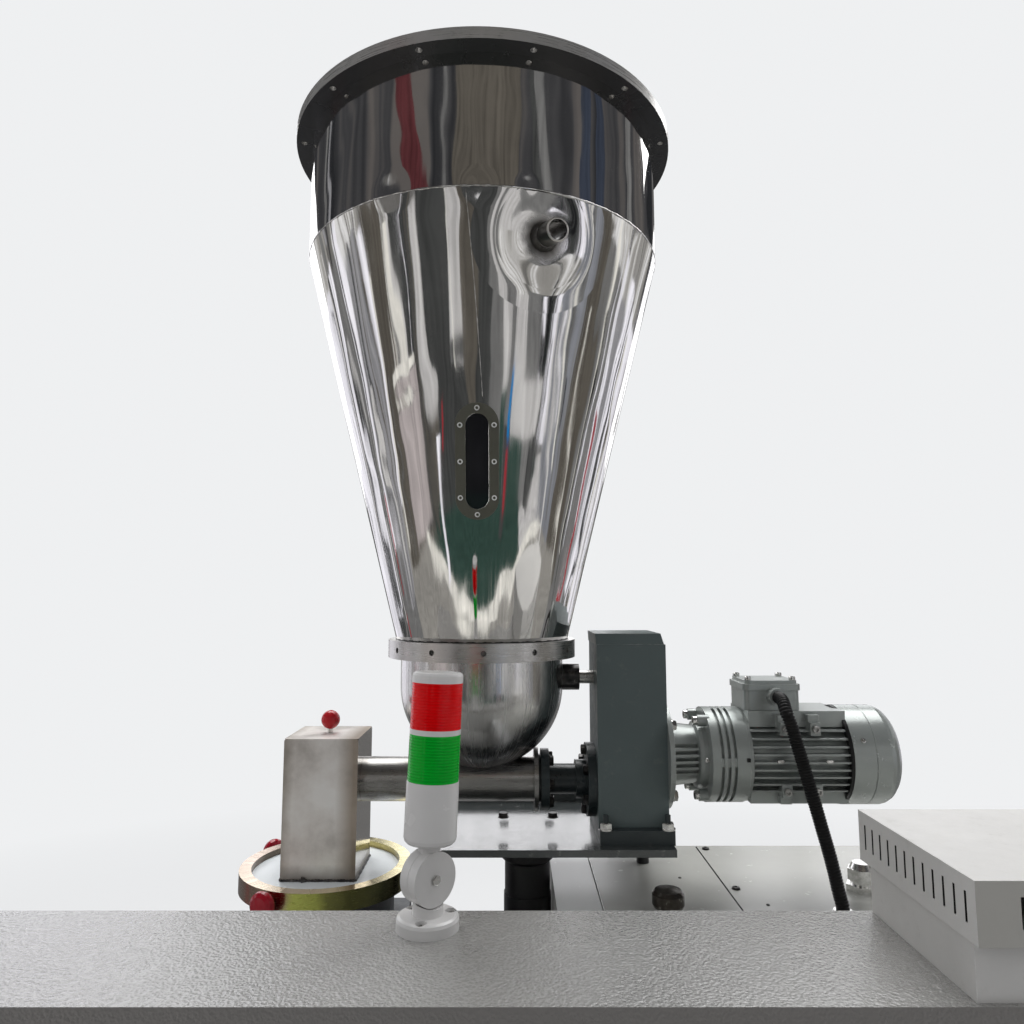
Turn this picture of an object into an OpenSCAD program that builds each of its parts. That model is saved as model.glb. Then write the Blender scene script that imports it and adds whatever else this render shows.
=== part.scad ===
// Feeding station of a plastic extruder: a polished hopper and mixing bowl over a screw
// feeder, standing on the gearbox deck of the machine bed. Millimetres, +Z up.
// The origin is on the floor, under the middle of the whole machine.

/* [Machine bed] */
// Length of the bed, left to right
bed_len = 1280; // [1240:5:1500]
// Depth of the bed, front to rear
bed_depth = 750; // [735:5:900]
// Place of the bed's front face
bed_front = -423.5; // [-430:0.5:-415]
// Height of the levelling feet under the bed
foot_h = 70; // [50:5:110]
// Top of the low base that carries the feed throat
base_top = 820; // [700:10:860]
// Top of the gearbox deck
deck_z = 1085; // [1070:1:1100]
// Thickness of a deck plate
deck_t = 8; // [4:1:14]
// Place of the left seam in the deck
left_seam = 46; // [30:1:60]
// Place of the right seam in the deck
right_seam = 238; // [200:1:300]
// Depth of the front cable trunk
trunk_depth = 173; // [160:1:180]
// Height of the trunk's cover above the deck
cover_rise = 118; // [95:1:135]
// Thickness of sheet covers and doors
sheet_t = 3; // [2:0.5:5]

/* [Feed throat] */
// Centre of the feed throat, left to right
throat_x = -356; // [-365:1:-345]
// Height of the barrel axis above the base
barrel_rise = 140; // [120:1:150]
// Bore of each of the two barrel channels
barrel_bore = 52; // [40:1:56]
// Outer radius of the clamp ring
ring_r = 124; // [118:1:130]
// Height of the clamp ring
ring_h = 27; // [20:1:34]
// Depth of the clamp ring's top below the feed screw's axis
ring_drop = 120; // [116:1:126]
// Width of the clamp ring's top face
ring_w = 17; // [10:1:22]

/* [Feeder] */
// Centre of hopper and bowl, left to right
feeder_x = -126; // [-130:1:-120]
// Centre line of the feeder, front to rear
feeder_y = 136.5; // [130:0.5:143]
// Height of the feed screw's axis above the base plate
tube_rise = 75; // [71:1:79]
// Outer radius of the feed tube
tube_r = 32; // [28:1:36]
// Wall of tube, chute and bowl
shell_t = 3; // [2:0.5:4]
// Radius of the feed screw's flight
screw_r = 26; // [20:1:28]
// Lead of the feed screw
screw_lead = 44; // [30:1:60]
// Width of the square chute
chute_w = 107; // [90:1:116]
// Height of the chute's walls above the feed screw's axis
chute_rise = 66; // [48:1:88]
// Thickness of the feeder's base plate
plate_t = 10; // [6:1:16]
// Height of the feeder's base plate above the deck
plate_rise = 82; // [75:1:90]
// Radius of the support post
post_r = 35; // [28:1:36]

/* [Hopper] */
// Outer radius of the hopper's cylinder
hopper_r = 274; // [250:1:290]
// Height of the hopper's cone
cone_h = 582; // [500:1:650]
// Height of the hopper's cylinder under its rim
cylinder_h = 182; // [110:1:250]
// Thickness of the rim
rim_h = 16; // [8:1:24]
// How far the rim stands out
rim_w = 24; // [18:1:34]
// Holes in the rim
rim_holes = 12; // [8:1:16]
// Outer radius of the cone's lower end
cone_foot_r = 131; // [129:1:134]
// Radius of the clamp flange under the cone
flange_r = 142; // [138:1:150]
// Height of the clamp flange
flange_h = 26; // [20:1:32]
// Grub screws round the clamp flange
clamp_screws = 12; // [8:1:16]
// Outer radius of the mixing bowl
bowl_r = 123; // [118:1:125]
// Height of the bowl's straight wall, over its round bottom
bowl_wall_h = 68; // [62:1:77]
// Height of the round bottom's centre above the feed screw's axis
bowl_rise = 141; // [136:1:146]
// Radius of the agitator's shaft
shaft_r = 10; // [8:0.5:12]
// Height of the agitator's axis above the round bottom's centre
shaft_rise = 10; // [5:1:15]
// Reach of the agitator's arms
arm_reach = 96; // [80:1:100]

/* [Gear case] */
// Left face of the gear case
case_x = 44; // [42:1:46]
// Width of the gear case
case_w = 101; // [90:1:110]
// Depth of the gear case
case_d = 112; // [100:1:124]
// Height of the gear case above the base plate, under its lid
case_rise = 278; // [268:1:293]
// Height of the gear case's foot block
block_h = 20; // [14:1:26]
// Height of the gear case's lid
lid_h = 16; // [10:1:24]

/* [Gearmotor] */
// Height of the motor's axis above the feed screw's axis
motor_rise = 37; // [28:1:46]
// Radius of the reducer's flange on the gear case
case_flange_r = 78; // [72:1:80]
// Length of the reducer's slotted neck
neck_len = 41; // [34:1:50]
// Cooling grooves round the reducer
cool_n = 3; // [2:1:4]
// Length of the motor's finned body
body_len = 142; // [125:1:160]
// Radius of the reducer's housing
reducer_r = 69; // [62:1:72]
// Radius over the motor's fins
fin_r = 69; // [64:1:71]
// Thickness of a fin
fin_t = 2.6; // [2:0.1:3.4]
// Pitch of the fins
fin_pitch = 10.6; // [9:0.1:13]
// Radius of the fan cowl
cowl_r = 72; // [70:1:76]
// Length of the fan cowl
cowl_len = 72; // [60:1:90]
// Slots in the end of the fan cowl
cowl_slots = 16; // [10:1:20]
// Radius of the conduit
conduit_r = 9.2; // [7:0.1:11]

/* [Tower lamp] */
// Place of the lamp, left to right
lamp_x = -160; // [-200:1:-120]
// Place of the lamp, front to rear
lamp_y = -287; // [-300:1:-280]
// Radius of the lenses
lens_r = 25; // [20:0.5:26]
// Height of one lens
lens_h = 44; // [30:1:60]
// Ribs round each lens
lens_ribs = 15; // [8:1:18]
// Height of the fold pin above the cover
fold_h = 46; // [44:1:60]
// Lean of the lamp about its fold pin, in degrees
lamp_lean = 2.9; // [0:0.1:4]

/* [Vented box] */
// Left side of the box's lid
box_x = 275; // [250:1:300]
// Height of the box under its lid
box_h = 46; // [30:1:70]
// Height of the box's lid
box_lid_h = 49; // [30:1:70]
// Slots in each end of the lid
end_slots = 12; // [6:1:12]
// Slots in the front and the rear of the lid
front_slots = 20; // [10:1:22]
// Pitch of the slots
slot_pitch = 15.4; // [12:0.1:15.5]

/* [Hidden] */

$fn = 64;
round_n = 128;         // facets round the hopper and the bowl
fit = 0.05;            // radial clearance of a running fit
seat = 0.2;            // gap left at a welded or seated curved face
barrel_z = base_top + barrel_rise;
cover_z = deck_z + cover_rise;
plate_z = deck_z + plate_rise;
tube_z = plate_z + tube_rise;
ring_top = tube_z - ring_drop;
chute_top = tube_z + chute_rise;
bowl_z = tube_z + bowl_rise;
agitator_z = bowl_z + shaft_rise;
flange_z = bowl_z + bowl_wall_h;   // top of the clamp flange
seam_z = flange_z + cone_h;
rim_z = seam_z + cylinder_h + rim_h;
case_top = plate_z + case_rise;
motor_z = tube_z + motor_rise;
bed_x0 = -bed_len / 2;
bed_x1 = bed_len / 2;
bed_rear = bed_front + bed_depth;
trunk_rear = bed_front + trunk_depth;
plinth = 30;           // set-back of the low plinth band
plinth_h = 80;
door_z = foot_h + plinth_h + 10;   // lower edge of doors and panels
foot_inset = 70;       // of a levelling foot from the bed's edges
door_gap = 6;
door_t = 4;
panel_edge = 10;       // bare strip above and below a panel
tube_end_x = case_x - 85;
plate_x0 = feeder_x - 52;
plate_x1 = case_x + case_w + 3;
plate_y0 = feeder_y - 90;
plate_depth = 260;
post_x = -56;
post_y = feeder_y + 53;
deck_left = post_x + post_r + 3;
post_bolt_x = 37;
post_bolt_y = 57.5;
socket_top = plate_z - 106;
cone_slope = atan((hopper_r - cone_foot_r) / (seam_z - flange_z));
front_door_top = cover_z - 60;
sight_z = flange_z + 242;
box_y0 = bed_front - 11;
lid_over = 13;         // how far the box's lid stands out at its rear
box_inset = 4;         // of the box's left face under its lid
fold_angle = 45;       // of the lamp's fold pin from the front
knuckle_r = 25;
knuckle_t = 11;
fold_z = cover_z + fold_h;
case_y0 = feeder_y - case_d / 2;
motor_x = case_x + case_w;

// Ring or tube standing on its lower face
module ring(r_out, r_in, h, f = 96) {
    difference() {
        cylinder(r = r_out, h = h, $fn = f);
        translate([0, 0, -1]) cylinder(r = r_in, h = h + 2, $fn = f);
    }
}

// Solid cylinder along +X from its left face
module rod_x(x, y, z, r, len, f = 64) {
    translate([x, y, z]) rotate([0, 90, 0]) cylinder(r = r, h = len, $fn = f);
}

// Slab with rounded upright corners
module slab(w, d, h, r) {
    linear_extrude(height = h) {
        translate([r, 0]) square([w - 2 * r, d]);
        translate([0, r]) square([w, d - 2 * r]);
        for (x = [r, w - r], y = [r, d - r]) translate([x, y]) circle(r = r, $fn = 32);
    }
}

module hex(r, h) { cylinder(r = r, h = h, $fn = 6); }

// Machine bed

foot_xs = [bed_x0 + foot_inset, 0, bed_x1 - foot_inset];
foot_ys = [bed_front + foot_inset, bed_rear - foot_inset];

module levelling_feet() {
    color("dimgray") for (x = foot_xs, y = foot_ys) translate([x, y, 0]) {
        rotate_extrude($fn = 48)
            polygon([[0, 0], [42, 0], [42, 8], [20, 16], [10, 16], [10, foot_h], [0, foot_h]]);
        translate([0, 0, foot_h - 14]) hex(17, 14);
    }
}

module base_cabinet() {
    color("gainsboro") difference() {
        translate([bed_x0, trunk_rear, foot_h])
            cube([bed_len, bed_depth - trunk_depth, base_top - foot_h]);
        translate([bed_x0 - 1, bed_rear - plinth, foot_h - 1])
            cube([bed_len + 2, plinth + 1, plinth_h + 1]);
    }
}

module gearbox_cabinet() {
    color("gainsboro") translate([deck_left, trunk_rear, base_top])
        cube([bed_x1 - deck_left, bed_depth - trunk_depth, deck_z - deck_t - base_top]);
}

module trunk_cabinet() {
    color("gainsboro") difference() {
        translate([bed_x0, bed_front, foot_h])
            cube([bed_len, trunk_depth, cover_z - sheet_t - foot_h]);
        translate([bed_x0 - 1, bed_front - 1, foot_h - 1])
            cube([bed_len + 2, plinth + 1, plinth_h + 1]);
    }
}

// Row of flat doors along X on a face at y, standing out by t
module door_row(x0, x1, z0, z1, y, n, t) {
    w = (x1 - x0 - (n + 1) * door_gap) / n;
    for (i = [0 : n - 1]) translate([x0 + door_gap + i * (w + door_gap), y, z0])
        cube([w, t, z1 - z0]);
}

module front_doors() {
    color("silver") door_row(bed_x0, bed_x1, door_z, front_door_top, bed_front - door_t, 3, door_t);
}

module rear_panels() {
    color("silver") {
        door_row(bed_x0, bed_x1, door_z, base_top - panel_edge, bed_rear, 3, door_t);
        door_row(deck_left, bed_x1, base_top + panel_edge, deck_z - deck_t - panel_edge, bed_rear,
            2, door_t);
    }
}

module end_panels() {
    color("silver") for (x = [bed_x0 - door_t, bed_x1]) translate([x, 0, 0]) {
        translate([0, trunk_rear + door_gap, door_z])
            cube([door_t, bed_rear - plinth - trunk_rear - 2 * door_gap,
                base_top - panel_edge - door_z]);
        translate([0, bed_front + plinth + door_gap, door_z])
            cube([door_t, trunk_depth - plinth - 2 * door_gap, front_door_top - door_z]);
    }
}

module trunk_cover() {
    lip = 20;
    color("silver") difference() {
        translate([bed_x0, bed_front - sheet_t, cover_z - lip])
            cube([bed_len, trunk_depth + 2 * sheet_t, lip]);
        translate([bed_x0 - 1, bed_front, cover_z - lip - 1])
            cube([bed_len + 2, trunk_depth, lip + 1 - sheet_t]);
    }
}

module deck_plates() {
    seam = 1.5;
    edges = [deck_left - seam / 2, left_seam, right_seam, bed_x1 + seam / 2];
    color("lightgray") for (i = [0 : 2])
        translate([edges[i] + seam / 2, trunk_rear + sheet_t, deck_z - deck_t])
            cube([edges[i + 1] - edges[i] - seam, bed_rear - trunk_rear - sheet_t, deck_t]);
}

breather = [132, 36];
deck_gland = [437, 128];
conduit_foot = [369.5, 38];
conduit_foot_h = 7;

module deck_fittings() {
    color("silver") {
        translate([breather[0], breather[1], deck_z]) {
            cylinder(r = 12, h = 12);
            translate([0, 0, 12]) rotate_extrude()
                polygon([[0, 0], [20, 0], [22, 4], [22, 17], [18, 22], [0, 24]]);
        }
        translate([deck_gland[0], deck_gland[1], deck_z]) {
            hex(24, 9);
            translate([0, 0, 9]) cylinder(r = 17, h = 6);
            translate([0, 0, 15]) hex(21, 16);
            translate([0, 0, 31]) cylinder(r1 = 17, r2 = 13, h = 8);
        }
        translate([conduit_foot[0], conduit_foot[1], deck_z]) {
            hex(conduit_r + 6, 4);
            cylinder(r = conduit_r + 3, h = conduit_foot_h);
        }
    }
}

// Feed throat

throat_w = 230;
throat_d = 190;
throat_z0 = barrel_z - 75;
throat_z1 = barrel_z + 75;
neck_r = 100;
barrel_bolt_y = 75;    // of the barrel's flange bolts from the axis
barrel_bolt_z = 55;
barrel_bolt_r = 6.5;
barrel_bolt_depth = 25;
throat_foot = [60, 140];
disc_t = 10;
disc_z = ring_top - ring_h + 8;   // underside of the pale disc
drop_w = 70;           // of the opening that the granulate falls through
drop_d = 80;

module throat_block() {
    color("slategray") difference() {
        union() {
            translate([throat_x - throat_w / 2, feeder_y - throat_d / 2, throat_z0])
                cube([throat_w, throat_d, throat_z1 - throat_z0]);
            translate([throat_x, feeder_y, throat_z1])
                cylinder(r = neck_r, h = disc_z - throat_z1, $fn = 96);
            for (s = [-1, 1])
                translate([throat_x + s * throat_w / 3.3 - throat_foot[0] / 2,
                    feeder_y - throat_foot[1] / 2, base_top])
                    cube([throat_foot[0], throat_foot[1], throat_z0 - base_top]);
        }
        for (s = [-1, 1]) rod_x(throat_x - throat_w / 2 - 1, feeder_y + s * barrel_bore * 0.45,
            barrel_z, barrel_bore / 2, throat_w + 2);
        translate([throat_x - drop_w / 2, feeder_y - drop_d / 2, barrel_z])
            cube([drop_w, drop_d, disc_z - barrel_z + 1]);
        for (dy = [-1, 1], dz = [-1, 1]) rod_x(throat_x - throat_w / 2 - 1,
            feeder_y + dy * barrel_bolt_y, barrel_z + dz * barrel_bolt_z, barrel_bolt_r,
            barrel_bolt_depth + 1, 32);
    }
}

lantern_top = barrel_z + 50;
lantern_w = 200;
spigot_r = 70;

module drive_lantern() {
    x0 = throat_x + throat_w / 2;
    rim = 16;
    h = 2 * (lantern_top - barrel_z);
    color("slategray") {
        rod_x(x0, feeder_y, barrel_z, spigot_r, rim, 96);
        translate([x0 + rim, feeder_y, barrel_z]) rotate([90, 0, 90])
            linear_extrude(height = deck_left - x0 - rim) {
                square([lantern_w - 2 * rim, h], center = true);
                square([lantern_w, h - 2 * rim], center = true);
                for (x = [-1, 1], y = [-1, 1])
                    translate([x * (lantern_w / 2 - rim), y * (h / 2 - rim)])
                        circle(r = rim, $fn = 32);
            }
    }
}

module throat_disc() {
    color("whitesmoke") translate([throat_x, feeder_y, disc_z]) difference() {
        cylinder(r = ring_r - ring_w - seat, h = disc_t, $fn = 96);
        translate([-drop_w / 2, -drop_d / 2, -1]) cube([drop_w, drop_d, disc_t + 2]);
    }
}

module clamp_ring() {
    color("darkkhaki") translate([throat_x, feeder_y, ring_top - ring_h])
        ring(ring_r, ring_r - ring_w, ring_h);
}

module clamp_knobs() {
    color("darkred") for (a = [15, 140, 247])
        translate([throat_x, feeder_y, ring_top - ring_h / 2])
            rotate([0, 0, a]) rotate([0, 90, 0]) {
                translate([0, 0, ring_r]) cylinder(r = 6, h = 8);
                translate([0, 0, ring_r + 8]) rotate_extrude($fn = 48) polygon([[0, 0], [12, 0],
                    [17, 2.5], [18.5, 7], [17.5, 11.5], [13, 15], [6, 16.5], [0, 17]]);
            }
}

chute_z0 = disc_z + disc_t;
chute_d = chute_w + 3;
sheet = 2;

module chute() {
    color("lightgray") difference() {
        translate([throat_x - chute_w / 2, feeder_y - chute_d / 2, chute_z0])
            cube([chute_w, chute_d, chute_top - chute_z0]);
        translate([throat_x - chute_w / 2 + sheet, feeder_y - chute_d / 2 + sheet, chute_z0 - 1])
            cube([chute_w - 2 * sheet, chute_d - 2 * sheet, chute_top - chute_z0 + 2]);
        rod_x(throat_x, feeder_y, tube_z, tube_r + seat, chute_w);
    }
}

module chute_lid() {
    color("silver") translate([throat_x, feeder_y, chute_top]) {
        translate([-chute_w / 2, -chute_d / 2, 0]) cube([chute_w, chute_d, sheet]);
        translate([0, 0, sheet]) cylinder(r = 4, h = 8);
        translate([0, 0, sheet + 19]) sphere(r = 14, $fn = 48);
    }
}

// Feeder

tube_x0 = throat_x + chute_w / 2 - sheet;
end_plate_r = 46;

module feed_tube() {
    color("silver") difference() {
        union() {
            rod_x(tube_x0, feeder_y, tube_z, tube_r, tube_end_x - tube_x0 - 6, 96);
            rod_x(tube_end_x - 6, feeder_y, tube_z, end_plate_r, 6, 96);
        }
        rod_x(tube_x0 - 1, feeder_y, tube_z, tube_r - shell_t, tube_end_x - tube_x0 - 5, 96);
        translate([feeder_x, feeder_y, bowl_z]) sphere(r = bowl_r - shell_t, $fn = 96);
    }
}

// Helical flight between two radii, as a swept ribbon of four corners a step
module flight(r_in, r_out, len, lead, t) {
    n = 16;
    steps = floor(n * len / lead);
    ring_pts = [for (i = [0 : steps]) let (a = 360 * i / n, z = lead * i / n)
        for (c = [[r_in, -t / 2], [r_out, -t / 2], [r_out, t / 2], [r_in, t / 2]])
            [c[0] * cos(a), c[0] * sin(a), z + c[1]]];
    sides = [for (i = [0 : steps - 1], k = [0 : 3])
        [4 * i + k, 4 * i + (k + 1) % 4, 4 * i + 4 + (k + 1) % 4, 4 * i + 4 + k]];
    polyhedron(points = ring_pts, faces = concat(sides, [[3, 2, 1, 0]],
        [[4 * steps, 4 * steps + 1, 4 * steps + 2, 4 * steps + 3]]), convexity = 8);
}

module feed_screw() {
    len = tube_end_x - 6 - (throat_x - 8);
    color("gray") translate([throat_x - 8, feeder_y, tube_z]) rotate([0, 90, 0]) {
        cylinder(r = 9, h = len, $fn = 32);
        translate([0, 0, 4]) flight(9 + seat + 0.15, screw_r, len - 12, screw_lead, 3);
    }
}

module bearing_housing() {
    color("darkslategray") translate([tube_end_x, feeder_y, tube_z]) rotate([0, 90, 0])
        rotate_extrude($fn = 96) polygon([[0, 0], [36, 0], [36, 4], [44, 4], [44, 16], [22, 16],
            [22, 56], [28, 56], [28, 72], [53, 72], [53, case_x - tube_end_x],
            [0, case_x - tube_end_x]]);
}

module gear_case() {
    color("darkslategray") difference() {
        translate([case_x, case_y0, plate_z + block_h])
            cube([case_w, case_d, case_top - plate_z - block_h]);
        rod_x(case_x - 1, feeder_y, agitator_z, shaft_r + fit, 21);
    }
}

module gear_case_lid() {
    color("darkslategray") translate([case_x - 1, case_y0 + case_d, case_top]) rotate([90, 0, 0])
        linear_extrude(height = case_d)
            polygon([[0, 0], [case_w - 1, 0], [case_w - 6, lid_h], [-1, lid_h]]);
}

foot_w = case_w + 5;
foot_d = case_d + 32;
stud_dx = foot_w - 18;
stud_dy = foot_d - 14;

module case_foot() {
    x = case_x + foot_w / 2;
    color("darkslategray") {
        translate([x - foot_w / 2, feeder_y - foot_d / 2, plate_z])
            cube([foot_w, foot_d, block_h]);
        for (dx = [-stud_dx / 2, stud_dx / 2], dy = [-stud_dy / 2, stud_dy / 2])
            translate([x + dx, feeder_y + dy, plate_z + block_h]) cylinder(r = 4, h = 20);
    }
}

rail_h = 20;
rail_t = 12;

module base_plate() {
    color("darkslategray") translate([plate_x0, plate_y0, plate_z - plate_t]) {
        cube([plate_x1 - plate_x0, plate_depth, plate_t]);
        translate([0, plate_depth - rail_t, plate_t])
            cube([plate_x1 - plate_x0, rail_t, rail_h]);
    }
}

post_top_t = 12;
collar_h = 32;
collar_w = 5;

module support_post() {
    len = plate_z - plate_t - post_top_t - socket_top;
    color("dimgray") {
        translate([post_x - post_bolt_x - 18, post_y - post_bolt_y - 14,
            plate_z - plate_t - post_top_t])
            cube([2 * post_bolt_x + 36, 2 * post_bolt_y + 28, post_top_t]);
        translate([post_x, post_y, socket_top]) rotate_extrude($fn = 96)
            polygon([[0, 0], [post_r, 0], [post_r, len - collar_h - collar_w],
                [post_r + collar_w, len - collar_h], [post_r + collar_w, len], [0, len]]);
        translate([case_x + case_w - 12, feeder_y + 109, deck_z])
            cylinder(r = 10, h = plate_z - plate_t - deck_z);
    }
}

module post_socket() {
    color("black") translate([post_x, post_y, lantern_top])
        cylinder(r = post_r + 1.5, h = socket_top - lantern_top);
}

// Hopper

module hopper_rim() {
    color("silver") translate([feeder_x, feeder_y, rim_z - rim_h]) difference() {
        ring(hopper_r + rim_w, hopper_r - shell_t, rim_h, round_n);
        for (i = [0 : rim_holes - 1]) rotate([0, 0, 15 + 360 * i / rim_holes])
            translate([hopper_r + rim_w / 2, 0, -1]) cylinder(r = 4.5, h = rim_h + 2, $fn = 24);
    }
}

module hopper_cylinder() {
    color("silver") translate([feeder_x, feeder_y, seam_z])
        ring(hopper_r, hopper_r - shell_t, cylinder_h, round_n);
}

// Cone of the hopper as a solid, grown outwards by g
module cone_solid(g) {
    translate([feeder_x, feeder_y, flange_z]) cylinder(r1 = cone_foot_r + g, r2 = hopper_r + g,
        h = seam_z - flange_z, $fn = round_n);
}

// Places a child on the cone's wall, +Z outwards: azimuth from the front, height z
module on_cone(az, z) {
    r = cone_foot_r + (z - flange_z) * tan(cone_slope);
    translate([feeder_x, feeder_y, z]) rotate([0, 0, az]) translate([0, -r, 0])
        rotate([90 + cone_slope, 0, 0]) children();
}

module obround(w, h, t) {
    linear_extrude(height = t) {
        square([w, h - w], center = true);
        for (s = [-1, 1]) translate([0, s * (h - w) / 2]) circle(r = w / 2, $fn = 48);
    }
}

stub_z = seam_z - 54;
stub_az = 20;
stub_r = 15;
stub_len = 42;
sight_w = 58;
sight_h = 155;
window_w = 31;
window_h = 127;
sight_t = 5;

module hopper_cone() {
    color("silver") difference() {
        union() {
            cone_solid(0);
            on_cone(stub_az, stub_z) {
                translate([0, 0, -6]) cylinder(r = stub_r + 2, h = 14);
                translate([0, 0, -6]) cylinder(r = stub_r, h = stub_len + 6);
            }
        }
        cone_solid(-shell_t);
        translate([feeder_x, feeder_y, flange_z - 1])
            cylinder(r = cone_foot_r - shell_t, h = 2, $fn = round_n);
        translate([feeder_x, feeder_y, seam_z - 1])
            cylinder(r = hopper_r - shell_t, h = 2, $fn = round_n);
        on_cone(stub_az, stub_z) translate([0, 0, -30])
            cylinder(r = stub_r - 3, h = stub_len + 40);
        on_cone(0, sight_z) translate([0, 0, -12]) obround(window_w, window_h, 24);
    }
}

module sight_frame() {
    color("gainsboro") difference() {
        on_cone(0, sight_z) translate([0, 0, -5]) obround(sight_w, sight_h, 5 + sight_t);
        cone_solid(seat);
        on_cone(0, sight_z) translate([0, 0, -12]) obround(window_w, window_h, 24);
    }
}

module sight_glass() {
    color("black") on_cone(0, sight_z) translate([0, 0, -1.5])
        obround(window_w - 2 * seat, window_h - 2 * seat, 3.5);
}

module hopper_flange() {
    color("silver") translate([feeder_x, feeder_y, flange_z - flange_h]) difference() {
        ring(flange_r, bowl_r + seat, flange_h);
        for (i = [0 : clamp_screws - 1]) rotate([0, 0, 360 * i / clamp_screws + 3])
            translate([flange_r + 1, 0, flange_h / 2]) rotate([0, -90, 0])
                cylinder(r = 4, h = 11, $fn = 24);
    }
}

module mixing_bowl() {
    color("silver") difference() {
        translate([feeder_x, feeder_y, bowl_z]) rotate_extrude($fn = round_n) difference() {
            union() {
                intersection() {
                    circle(r = bowl_r);
                    translate([0, -bowl_r]) square([bowl_r, bowl_r]);
                }
                square([bowl_r, flange_z - 2 - bowl_z]);
            }
            circle(r = bowl_r - shell_t);
            square([bowl_r - shell_t, flange_z - bowl_z]);
            translate([-bowl_r, -bowl_r]) square([bowl_r, 2 * bowl_r]);
        }
        rod_x(feeder_x - bowl_r, feeder_y, tube_z, tube_r + seat, 2 * bowl_r);
        rod_x(feeder_x, feeder_y, agitator_z, 19.5 + seat, bowl_r + 5);
    }
}

seal_x0 = feeder_x + bowl_r - 12;
seal_x1 = feeder_x + bowl_r + 25;

module seal_housing() {
    color("black") difference() {
        rod_x(seal_x0, feeder_y, agitator_z, 19.5, seal_x1 - seal_x0);
        rod_x(seal_x0 - 1, feeder_y, agitator_z, shaft_r + fit, seal_x1 - seal_x0 + 2);
    }
}

module agitator() {
    x0 = feeder_x - bowl_r + shell_t + 12;
    x1 = case_x + 19;
    arms = [-66, -22, 22, 66];
    color("silver") {
        rod_x(x0, feeder_y, agitator_z, shaft_r, x1 - x0);
        for (i = [0 : len(arms) - 1]) translate([feeder_x + arms[i], feeder_y, agitator_z])
            rotate([90 * i, 0, 0]) translate([0, 0, -arm_reach * cos(arms[i] * 0.5)])
                cylinder(r = 5, h = 2 * arm_reach * cos(arms[i] * 0.5), $fn = 32);
    }
}

// Gearmotor, along +X from the gear case

flange_t = 7;
drum_r = 50;
drum_len = 14;
lug_r = 8.5;
lug_len = 13;
cool_pitch = 9.2;
cool_depth = 7;
ring_x = flange_t + neck_len + drum_len;
cool_x = ring_x + 12;
cool_len = (cool_n - 0.5) * cool_pitch;
reducer_len = cool_x + cool_len + 24;
neck_slots = 5;
neck_slot_h = 5.4;

module gear_reducer() {
    color("slategray") translate([motor_x, feeder_y, motor_z]) rotate([0, 90, 0]) {
        cylinder(r = case_flange_r, h = flange_t, $fn = 96);
        difference() {
            translate([0, 0, flange_t]) cylinder(r1 = 47, r2 = 42, h = neck_len, $fn = 96);
            for (s = [-1, 1], i = [0 : neck_slots - 1])
                translate([(i - (neck_slots - 1) / 2) * 9.2 - neck_slot_h / 2, s * 41 - 10,
                    flange_t + 3]) cube([neck_slot_h, 20, neck_len]);
        }
        translate([0, 0, flange_t + neck_len]) rotate_extrude($fn = 96)
            polygon([[0, 0], [drum_r - 7, 0], [drum_r - 2, 2], [drum_r, 7], [drum_r, drum_len],
                [0, drum_len]]);
        for (a = [30, 150, 210, 330]) rotate([0, 0, a])
            translate([reducer_r - lug_r + 1, 0, ring_x - lug_len])
                cylinder(r = lug_r, h = lug_len + 4, $fn = 32);
        translate([0, 0, ring_x]) rotate_extrude($fn = 96)
            polygon(concat([[0, 0], [reducer_r, 0]],
                [for (i = [0 : cool_n - 1]) each [[reducer_r, 12 + cool_pitch * i],
                    [reducer_r - cool_depth, 12 + cool_pitch * i],
                    [reducer_r - cool_depth, 12 + cool_pitch * (i + 0.5)],
                    [reducer_r, 12 + cool_pitch * (i + 0.5)]]],
                [[reducer_r, 31 + cool_len], [reducer_r - 1.5, 31 + cool_len],
                    [reducer_r - 1.5, 36 + cool_len], [0, 36 + cool_len]]));
        for (a = [0, 90]) rotate([0, 0, a]) translate([0, 0, cool_x + cool_len / 2])
            cube([2 * reducer_r - 3, 12, cool_len + 1], center = true);
    }
}

body_x = motor_x + reducer_len;
shoulder_w = 88;
shoulder_z = 46;       // of the upper shoulder's lower edge above the axis
low_shoulder = [-62, -42];
pad_w = 14;
pad_h = 18;
pad_z = 46;            // of the upper foot pads above the axis
low_pad_z = -41;
bridge_y = 56;         // of the ribs that carry the pads
bridge_h = 10;
pad_y = 63;            // of the foot pads' faces from the axis
pad_xs = [body_len / 3, 0.64 * body_len];

module motor_body() {
    core = fin_r - 11;
    n = floor(shoulder_z / fin_pitch);
    color("slategray") translate([body_x, feeder_y, motor_z]) {
        rotate([90, 0, 90]) linear_extrude(height = body_len) {
            circle(r = core, $fn = 96);
            intersection() {
                circle(r = fin_r, $fn = 96);
                for (i = [-n : n]) translate([-fin_r, i * fin_pitch - fin_t / 2])
                    square([2 * fin_r, fin_t]);
            }
            translate([-shoulder_w / 2, shoulder_z]) square([shoulder_w, fin_r - shoulder_z]);
            translate([-shoulder_w / 2, low_shoulder[0]])
                square([shoulder_w, low_shoulder[1] - low_shoulder[0]]);
        }
        for (x = pad_xs, s = [-1, 1]) {
            for (z = [pad_z, low_pad_z])
                translate([x - pad_w / 2, s * pad_y / 2 - pad_y / 2, z - pad_h / 2])
                    cube([pad_w, pad_y, pad_h]);
            for (z = [pad_z + pad_h / 2, low_pad_z - pad_h / 2 - bridge_h])
                translate([x - pad_w / 2 - 1, s * bridge_y / 2 - bridge_y / 2, z])
                    cube([pad_w + 2, bridge_y, bridge_h]);
        }
    }
}

cowl_round = 18;       // length over which the cowl's end is drawn in

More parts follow.
